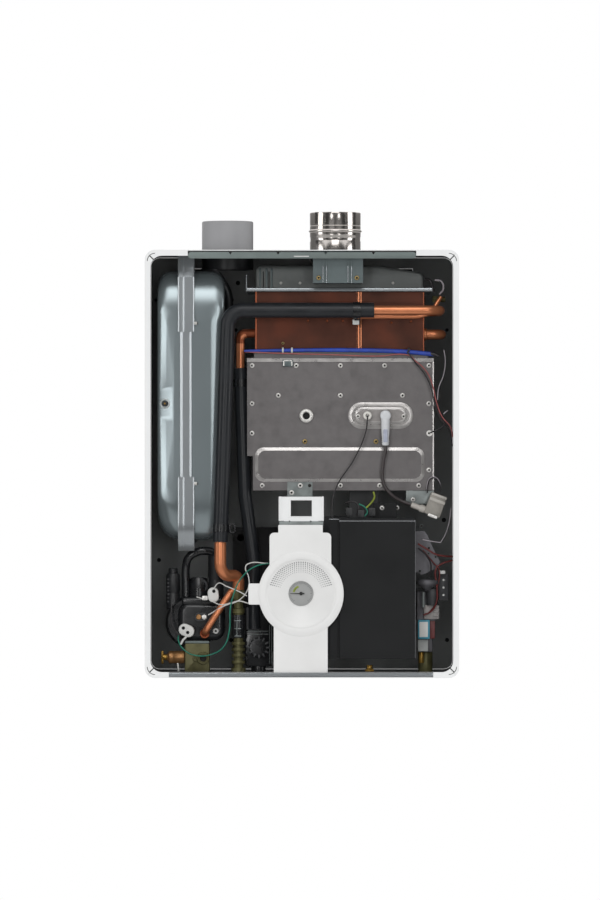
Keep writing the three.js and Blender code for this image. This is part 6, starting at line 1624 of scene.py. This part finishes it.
class BOILER_OT_brass_group(bpy.types.Operator):
    """Forge the brass manifold, drain valve and fittings, and mould the flow sensor"""

    bl_idname = "boiler.brass_group"
    bl_label = "Brass fittings"

    def execute(self, context):
        bm = bmesh.new()
        block(bm, (-176.7, -235, -314), (-139.1, -195, -270.5), axis=1, corner=3, rim=1.5, steps=4)
        block(
            bm, (-176.0, -235.8, -270.5), (-139.8, -196, -267.0), axis=1, corner=1, rim=0.6, steps=3, index=1
        )
        ring = (-148.6, -235, -292.8)
        turned(
            bm, [(5, 0), (9.6, 0), (9.6, 4.6), (8.7, 6), (7.4, 6), (6.6, 5.2), (5.6, 5.2), (5, 4.6)], ring,
            closed=True, steps=36
        )
        # A near-black disc in the ring stands for its bore, painted shade.
        turned(bm, [(0, 0.2), (5.1, 0.2), (5.1, 1.0), (0, 1.0)], ring, index=2)
        small = seen(195.7, 658.5, -235)
        turned(bm, [(2.4, 0), (4.6, 0), (4.6, 2.2), (4, 3), (2.4, 3)], small, closed=True, steps=24)
        bar(bm, (-157.9, -215, -319.4), (-157.9, -215, -313), 10.8, rim=0.5, sides=32)
        piece(
            "brass_manifold_forging", bm, ["forged_brass_and_painted_shade", "galvanised_trim", "screw_socket_painted_shade"],
            replaces=["brass_manifold"],
        )
        bm = bmesh.new()
        turned(
            bm,
            [(3.4, 0), (5.6, 0), (6.2, 1.2), (8.6, 2.2), (9.5, 3.4), (9.5, 9.0), (9.0, 9.8), (9.5, 10.6),
             (9.5, 24.8), (8.6, 26), (3.4, 26)],
            (-203, -225, -291.7), (1, 0, 0), closed=True, steps=40,
        )
        bar(bm, seen(177.6, 663, -233), seen(178.6, 671.4, -233), 1.5, rim=0.4, index=1)
        piece(
            "drain_valve_body", bm, ["coppery_brass", "zinc_plated_screw_steel"], replaces=["drain_valve"],
        )
        bm = bmesh.new()
        turned(
            bm, [(0, 0), (4.2, 0), (4.6, 0.8), (4.6, 6.2), (4.0, 7), (0, 7)], (-203.3, -225, -291.7),
            (-1, 0, 0), steps=28
        )
        block(bm, (-212.1, -228.5, -301.7), (-208.6, -221.5, -281.7), axis=0, corner=3, rim=0.9, steps=6)
        bar(bm, (-210, -225, -291.7), (-198, -225, -291.7), 2.9, sides=16)
        piece(
            "drain_handle_bar", bm, ["turned_brass"], body="drain_lever", replaces=["drain_handle"],
        )

        # From the top: a brass nut and neck, a black clip sleeve with its pin, and a ribbed brass tail.
        bm = bmesh.new()
        centre = (-95.5, -240, 0)
        bar(bm, (-95.5, -240, -319.4), (-95.5, -240, -203), 7.4, sides=32)
        bar(bm, (-95.5, -240, -204), (-95.5, -240, -190.1), 10.5, rim=0.9, sides=6)
        bar(bm, (-95.5, -240, -262), (-95.5, -240, -227), 9.8, rim=1.4, sides=32, index=1)
        bar(bm, (-95.5, -240, -319.4), (-95.5, -240, -306.8), 11, rim=0.6, sides=32)
        for z in (-268, -277, -286, -296):
            bar(bm, (-95.5, -240, z - 5), (-95.5, -240, z), 10.2, rim=0.8, sides=32)
        turned(
            bm, [(7.2, -226), (9.2, -225), (9.2, -218), (7.2, -217)], centre, (0, 0, 1), closed=True, steps=32
        )
        tube(bm, [(-97.6, -250.2, -236), (-97.6, -250.2, -259)], 0.8, sides=10, index=2)
        for z in (-236, -248, -259):
            tube(bm, [(-101.5, -248.6, z), (-97.6, -250.3, z), (-91.4, -249.4, z)], 0.7, sides=8, index=2)
        piece(
            "flow_fitting_forging", bm, ["forged_brass_and_painted_shade", "glass_filled_nylon", "zinc_plated_bracket_steel"],
            replaces=["flow_fitting"],
        )

        bm = bmesh.new()
        block(bm, (-85.7, -229, -305.4), (-45.3, -200.2, -252), axis=1, corner=4, rim=2, steps=5)
        bar(bm, (-65.5, -216, -319.4), (-65.5, -216, -300), 11, rim=0.5, sides=32)
        block(bm, seen(245.9, 630, -226), seen(259.6, 607, -206), axis=1, corner=2, rim=1, steps=3, index=2)
        for px in (247.6, 250.8, 254.0, 257.2):
            block(bm, seen(px, 629, -227.4), seen(px + 1.3, 608, -225), axis=2, corner=0.6, steps=2, index=2)
        turned(
            bm, [(0, 0), (15, 0), (15.4, 2), (13.6, 4), (9, 4.6), (0, 4.6)], (-64.5, -228.6, -277), steps=40
        )
        for i in range(12):
            angle = math.radians(30 * i)
            spot = Matrix.Translation((-64.5, -229, -277)) @ Matrix.Rotation(angle, 4, "Y")
            block(
                bm, (10.5, -4.6, -1.4), (16.4, 1, 1.4), axis=1, corner=0.6, rim=0.5, steps=3, place=spot,
                index=2
            )
        for py in (631.2, 634.2):
            tube(bm, [seen(247.8, py, -231), seen(268.4, py, -231)], 0.6, sides=8, index=1)
        for px in (269.6, 271.8):
            tube(bm, [seen(px, 625, -231), seen(px, 664, -231)], 0.55, sides=8, index=1)
        piece(
            "flow_sensor_moulding", bm,
            ["glass_filled_nylon", "zinc_plated_bracket_steel", "ribbed_grey_plastic"],
            replaces=["flow_sensor"],
        )
        return {"FINISHED"}


class BOILER_OT_gas_group(bpy.types.Operator):
    """Coat the gas parts and add the pieces on the right-hand bracket"""

    bl_idname = "boiler.gas_group"
    bl_label = "Gas parts"

    def execute(self, context):
        coat_nodes("cast_aluminium_painted_shade", "gas_pipe", "fan_housing", "fan_impeller")
        coat_nodes("motor_black_plastic", "fan_motor", "pump_motor")
        coat_nodes("stainless_painted_shade", "pump_impeller", "diverter_plunger", "plate_heat_exchanger")
        # The bracket is a slanting plate with a few punched holes, each a near-black disc of painted shade in
        # a zinc rim.
        bm = bmesh.new()
        outline = [(150, -101), (184, -101), (188.6, -106), (198.7, -129), (207.8, -147), (206, -153),
                   (200.8, -158.4), (180.6, -167.6), (175.5, -163.5), (150, -163)]
        pressed(bm, outline, [(-243.2, 0), (-244.4, 0), (-244.7, 0.3)])
        for px, py, radius in (
            (428.8, 548, 1.7), (421.5, 526, 1.9), (435.6, 557, 1.5), (419.9, 571, 1.6), (428.5, 553.5, 1.2)
        ):
            turned(
                bm, [(0, 0), (radius, 0), (radius, 0.2), (0, 0.2)], seen(px, py, -244.7), index=1, steps=18
            )
            rim = [(radius, 0), (radius + 0.8, 0), (radius + 0.4, 0.4)]
            turned(bm, rim, seen(px, py, -244.6), index=2, steps=18, closed=True)
        piece(
            "side_bracket_plate", bm,
            ["sand_cast_aluminium", "screw_socket_painted_shade", "zinc_plated_bracket_steel"],
            replaces=["side_bracket"],
        )
        bm = bmesh.new()
        block(bm, (173.0, -234.8, -236.6), (203.1, -150, -191.4), axis=1, corner=3, rim=1.5, steps=4)
        block(bm, (176, -212.4, -284.6), (197.8, -172.6, -236), axis=1, corner=3, rim=1.5, steps=4)
        bar(bm, (186.9, -192.5, -319.4), (186.9, -192.5, -284), 11, rim=0.6, sides=32, index=4)
        block(
            bm, seen(423.6, 619.2, -239), seen(439.2, 604.9, -234), axis=1, corner=2, rim=1, steps=4, index=5
        )
        for py in (606.5, 610.6, 614.7):
            block(
                bm, seen(433, py + 2, -240.4), seen(438.6, py, -238), axis=1, corner=0.7, rim=0.5, steps=3,
                index=5
            )
        block(
            bm, seen(429.6, 638.6, -232), seen(434.6, 619.6, -214), axis=1, corner=1, rim=0.6, steps=3,
            index=6
        )
        low, high = seen(418, 639, -237), seen(429.5, 619.4, -214)
        block(bm, low, high, axis=1, corner=1.5, rim=0.8, steps=4, index=2)
        block(
            bm, low + Vector((2, -0.4, 3)), high - Vector((3, 20, 3)), axis=1, corner=0.8, rim=0.2, steps=3,
            index=7
        )
        block(bm, seen(418, 651.3, -218), seen(428, 639.4, -214), axis=1, corner=1, rim=0.8, steps=3, index=3)
        bar(bm, seen(421.3, 663, -206), seen(421.3, 652, -206), 3.8, rim=0.6, index=1)
        piece(
            "gas_valve_casting", bm,
            ["sand_cast_aluminium", "turned_brass", "teal_paint", "natural_nylon", "forged_brass_and_painted_shade",
             "pale_cast_aluminium", "red_pvc", "white_pvc"],
            replaces=["gas_valve"],
        )
        # The solenoid's cap hangs over its stem, a dark bobbin beside it.
        bm = bmesh.new()
        centre = seen(427.4, 590.6, -252)
        turned(
            bm, [(0, 0), (3, 0), (4.2, 1), (8, 5), (15.6, 9.5), (16.4, 11), (16.4, 14), (14.8, 16), (7, 17),
                 (0, 17.6)],
            centre, (0, 0, 1), steps=36, index=2,
        )
        bar(bm, seen(423.4, 592, -252), seen(423.4, 607, -246), 2.4, sides=20, index=1)
        bar(bm, seen(432.4, 588, -244), seen(432.4, 604.6, -240), 8.6, rim=1.2, sides=32)
        piece(
            "solenoid_cap", bm, ["ribbed_grey_plastic", "zinc_plated_bracket_steel", "sand_cast_aluminium"],
        )

        bm = bmesh.new()
        low, high = seen(438.4, 600.5, -236), seen(448.6, 573.7, -236)
        block(bm, (low.x, -236, low.z), (min(high.x, 232.5), -225, high.z), axis=1, corner=2, rim=1, steps=4)
        for py in (580, 587.5, 595):
            turned(bm, [(0, 0), (1.6, 0), (1.6, 0.9), (0, 0.9)], seen(443.5, py, -236), index=1, steps=16)
        where = seen(442, 572.2, -240)
        block(
            bm, where - Vector((4.8, 4, 2.6)), where + Vector((4.8, 4, 2.6)), axis=1, corner=0.8, rim=0.5,
            index=1
        )
        piece("wall_connector", bm, ["ribbed_grey_plastic", "white_pvc"])

        bm = bmesh.new()
        nut = seen(439.3, 299.3, -215)
        bar(bm, nut - Vector((10.5, 0, 0)), nut + Vector((-3, 0, 0)), 5.6, sides=6, rim=0.6)
        bar(bm, nut - Vector((3, 0, 0)), nut + Vector((9, 0, 0)), 4.2, rim=0.5)
        piece("air_screw_fitting", bm, ["forged_brass_and_painted_shade"])
        bm = bmesh.new()
        low = seen(369.6, 671, -240)
        bar(bm, low, low + Vector((0, 0, 9)), 4.6, rim=0.5)
        bar(bm, low + Vector((0, 0, -1)), low + Vector((0, 0, 3)), 7.4, sides=6, rim=0.5)
        piece("gas_test_nipple", bm, ["turned_brass"])
        return {"FINISHED"}


class BOILER_OT_wires(bpy.types.Operator):
    """Lay the leads, looms and single wires"""

    bl_idname = "boiler.wires"
    bl_label = "Wires"

    def execute(self, context):
        sizes = context.scene.boiler_sizes
        thin, lead, loom = sizes.thin_wire * 1000, sizes.thick_lead * 1000, sizes.loom_sleeve * 1000

        bm = bmesh.new()
        ends = [SPARK_TILT @ Vector((-34.5 + along, -9, -12)) for along in (-14, -8, 4.7)]
        route = [
            (125.7, -252.45, 32.1), (125.7, -252.45, 19.4), (122.4, -251, 2.8), (122.6, -250, -28),
            (134, -248, -45.5)
        ]
        tube(bm, route + ends, lead - 0.1, smooth=True, sides=16)
        piece("ignition_lead_sleeve", bm, ["lead_silicone"], replaces=["ignition_lead"])

        bm = bmesh.new()
        route = [(98.6, -255.9, 72.6), (98.6, -256.6, 72.0), (98.3, -257.6, 64.6), (96, -255, 48),
                 (79.7, -253, 9.2), (51, -252, -37), (45, -262, -66), (47, -268, -92)]
        tube(bm, route, thin, smooth=True, sides=12)
        piece("flame_rod_lead_wire", bm, ["black_pvc"], replaces=["flame_rod_lead"])

        bm = bmesh.new()
        route = [
            (-87, -242.2, 170), (-10, -242.2, 171), (65, -242.2, 171.2), (150, -242.2, 169),
            (198, -242.2, 165)
        ]
        tube(bm, route, loom, smooth=True, sides=20, radii=[0.55, 0.8, 0.95, 1.0, 1.0])
        for px in (282.8, 291.9, 408.7):
            where = seen(px, 350.2, -242.2)
            turned(
                bm, [(3.2, -1.3), (4.2, -1.3), (4.2, 1.3), (3.2, 1.3)], where, (1, 0, 0), closed=True,
                index=1 if px < 400 else 2
            )
        tube(
            bm, [(194, -242.2, 165.6), (200, -244, 164.6), (207, -246, 161.5)], 3.0, smooth=True, sides=14,
            index=2, radii=[1.1, 0.9, 0.5]
        )
        piece(
            "blue_loom_sleeve", bm, ["braided_blue_sleeve", "natural_nylon", "black_pvc"],
            replaces=["blue_loom"]
        )

        bm = bmesh.new()
        green = [(-185, -230.3, -256), (-185.5, -235, -257.5), (-186, -240, -266), (-176, -246, -281),
                 (-158, -247, -288.6), (-134, -247, -286), (-117.6, -252, -275), (-109, -256, -251),
                 (-107.6, -258, -218), (-103, -260, -198), (-92, -262, -173), (-72, -264, -155),
                 (-45, -264, -149), (39.4, -264, -147)]
        tube(bm, green, thin, smooth=True, sides=12)
        piece("sensor_wire_green", bm, ["green_pvc"], replaces=["sensor_wire"])

        bm = bmesh.new()
        red = [(182, -246.1, -130), (199, -248.5, -150), (205.9, -248.5, -158), (203, -247.5, -190),
               (201, -244, -211), (194, -240, -221), (186, -236.4, -228)]
        tube(bm, red, thin, smooth=True, sides=12)
        piece("gas_valve_wire_red", bm, ["red_pvc"], replaces=["red_wire"])

        def laid(bm, points, radius, index):
            tube(bm, [seen(*p) for p in points], radius, smooth=True, sides=10, index=index)

        bm = bmesh.new()
        # Under the blue loom: a pink wire from the left to the harness on the right, and a black one there.
        laid(bm, [(244.5, 351.8, -242), (262, 352.6, -243), (290, 353.6, -244), (330, 354.6, -244),
                  (380, 356, -244), (404, 354.4, -245), (411, 356.4, -245), (414, 359.6, -246),
                  (422.4, 366.7, -246), (428, 373.7, -247), (432.9, 386.3, -249), (436.4, 401.7, -252),
                  (442, 416.6, -254), (450.5, 427, -252), (452.8, 437, -248)], 0.95, 1)
        laid(bm, [(407, 351.4, -246), (410.6, 356.2, -247), (416, 363.5, -247), (424.5, 373.8, -248),
                  (431, 388, -250), (435, 404, -253), (440.5, 418.4, -255), (449, 430, -252),
                  (452.2, 446, -246)], 1.0, 2)
        laid(
            bm, [(444, 350, -246), (445.3, 361, -248), (443.5, 375, -250), (438.6, 388, -251),
                 (437.6, 400, -251)], 0.65, 4
        )
        laid(bm, [(443.5, 414, -257), (445.6, 412, -258), (447.8, 410.7, -256)], 0.7, 4)
        laid(bm, [(451, 508, -246), (448.6, 524.6, -248), (445, 535, -250), (440.4, 542.6, -252)], 0.65, 4)
        laid(bm, [(440.4, 542.6, -252), (431, 541.2, -256), (422.6, 539.6, -258)], 0.9, 4)
        laid(
            bm, [(418, 543.8, -262), (427.5, 549.4, -262), (435, 554, -260), (444, 556, -256),
                 (452.4, 556.5, -250)], 1.4, 0
        )
        laid(bm, [(452.4, 560.3, -250), (441.5, 564, -256), (436.4, 568, -258), (437, 587, -256),
                  (436.4, 602.4, -250), (431.3, 611.3, -244), (423.7, 615, -241)], 1.3, 0)
        laid(bm, [(418, 548, -262), (426, 555, -262), (431, 566, -260), (429, 577, -257)], 1.3, 2)
        laid(bm, [(425.5, 278.7, -236), (430, 280.6, -240), (432, 285, -240), (434, 292, -236)], 1.9, 2)
        laid(bm, [(435, 280, -232), (441.6, 281.6, -236), (443.4, 288.6, -236), (439.7, 294, -228)], 1.4, 4)
        piece(
            "harness_wires", bm, ["red_pvc", "pink_pvc", "black_pvc", "white_pvc", "grey_pvc"],
        )

        bm = bmesh.new()
        lug = seen(429.4, 433.3, -241.6)
        turned(bm, [(2.2, 0), (4.6, 0), (4.6, 0.8), (2.2, 0.8)], lug, closed=True, steps=20)
        laid(bm, [(430.6, 432.6, -242.6), (438, 429.7, -248), (444.6, 424.8, -252)], 1.2, 1)
        laid(bm, [(373.5, 492, -246), (374.5, 497, -250), (371, 503, -256), (366, 508, -260)], 1.4, 2)
        laid(bm, [(359, 504, -258), (364.6, 507, -260), (367.4, 512, -261), (364.4, 516.5, -262)], 1.1, 3)
        laid(bm, [(345, 503, -258), (352, 501.5, -260), (358, 505, -262), (357, 515.5, -262)], 1.2, 1)
        piece(
            "earth_wires", bm, ["zinc_plated_screw_steel", "black_pvc", "yellow_green_pvc", "green_pvc"],
        )

        bm = bmesh.new()
        laid(bm, [(268, 563.4, -264), (248, 563.9, -262), (245.5, 567, -262), (248.6, 577, -262),
                  (248.6, 587.3, -262), (239.9, 599.6, -258), (224.6, 605.7, -252), (208.3, 614.9, -243)],
                  0.9, 0)
        laid(
            bm, [(248, 603.2, -262), (238.9, 601, -258), (231.7, 602.7, -254), (220.5, 604.7, -248),
                 (213.5, 602, -244)], 0.9, 0
        )
        laid(
            bm, [(214, 588, -244), (219, 583, -248), (226, 586, -252), (240, 592, -258), (247, 596, -262)],
            0.9, 0
        )
        laid(bm, [(180, 636, -243), (173.5, 628, -240), (171, 616, -236), (172, 604, -230)], 1.2, 1)
        piece("sensor_wires_white", bm, ["white_pvc", "black_pvc"])
        return {"FINISHED"}


class BOILER_PT_panel(bpy.types.Panel):
    """The boiler's pieces in the order in which they are built"""

    bl_idname = "BOILER_PT_panel"
    bl_label = "Open gas combi boiler"
    bl_space_type = "VIEW_3D"
    bl_region_type = "UI"
    bl_category = "Boiler"

    def draw(self, context):
        for step in STEPS:
            self.layout.operator(step.bl_idname)
        for group in (context.scene.boiler_sizes, context.scene.boiler_colours):
            column = self.layout.column()
            for name in group.__annotations__:
                column.prop(group, name)


STEPS = (
    BOILER_OT_finishes,
    BOILER_OT_stage,
    BOILER_OT_casing,
    BOILER_OT_collars,
    BOILER_OT_vessel,
    BOILER_OT_hood,
    BOILER_OT_exchanger,
    BOILER_OT_pipes,
    BOILER_OT_door,
    BOILER_OT_igniter,
    BOILER_OT_control_box,
    BOILER_OT_gauge,
    BOILER_OT_water_group,
    BOILER_OT_brass_group,
    BOILER_OT_gas_group,
    BOILER_OT_wires,
)
CLASSES = (BoilerColours, BoilerSizes, *STEPS, BOILER_PT_panel)


def register():
    for cls in CLASSES:
        bpy.utils.register_class(cls)
    bpy.types.Scene.boiler_colours = bpy.props.PointerProperty(type=BoilerColours)
    bpy.types.Scene.boiler_sizes = bpy.props.PointerProperty(type=BoilerSizes)


def unregister():
    del bpy.types.Scene.boiler_sizes
    del bpy.types.Scene.boiler_colours
    for cls in reversed(CLASSES):
        bpy.utils.unregister_class(cls)


def main():
    """Builds everything around the frame."""
    register()
    for step in STEPS:
        getattr(bpy.ops.boiler, step.bl_idname.split(".")[1])()


if __name__ == "__main__":
    main()
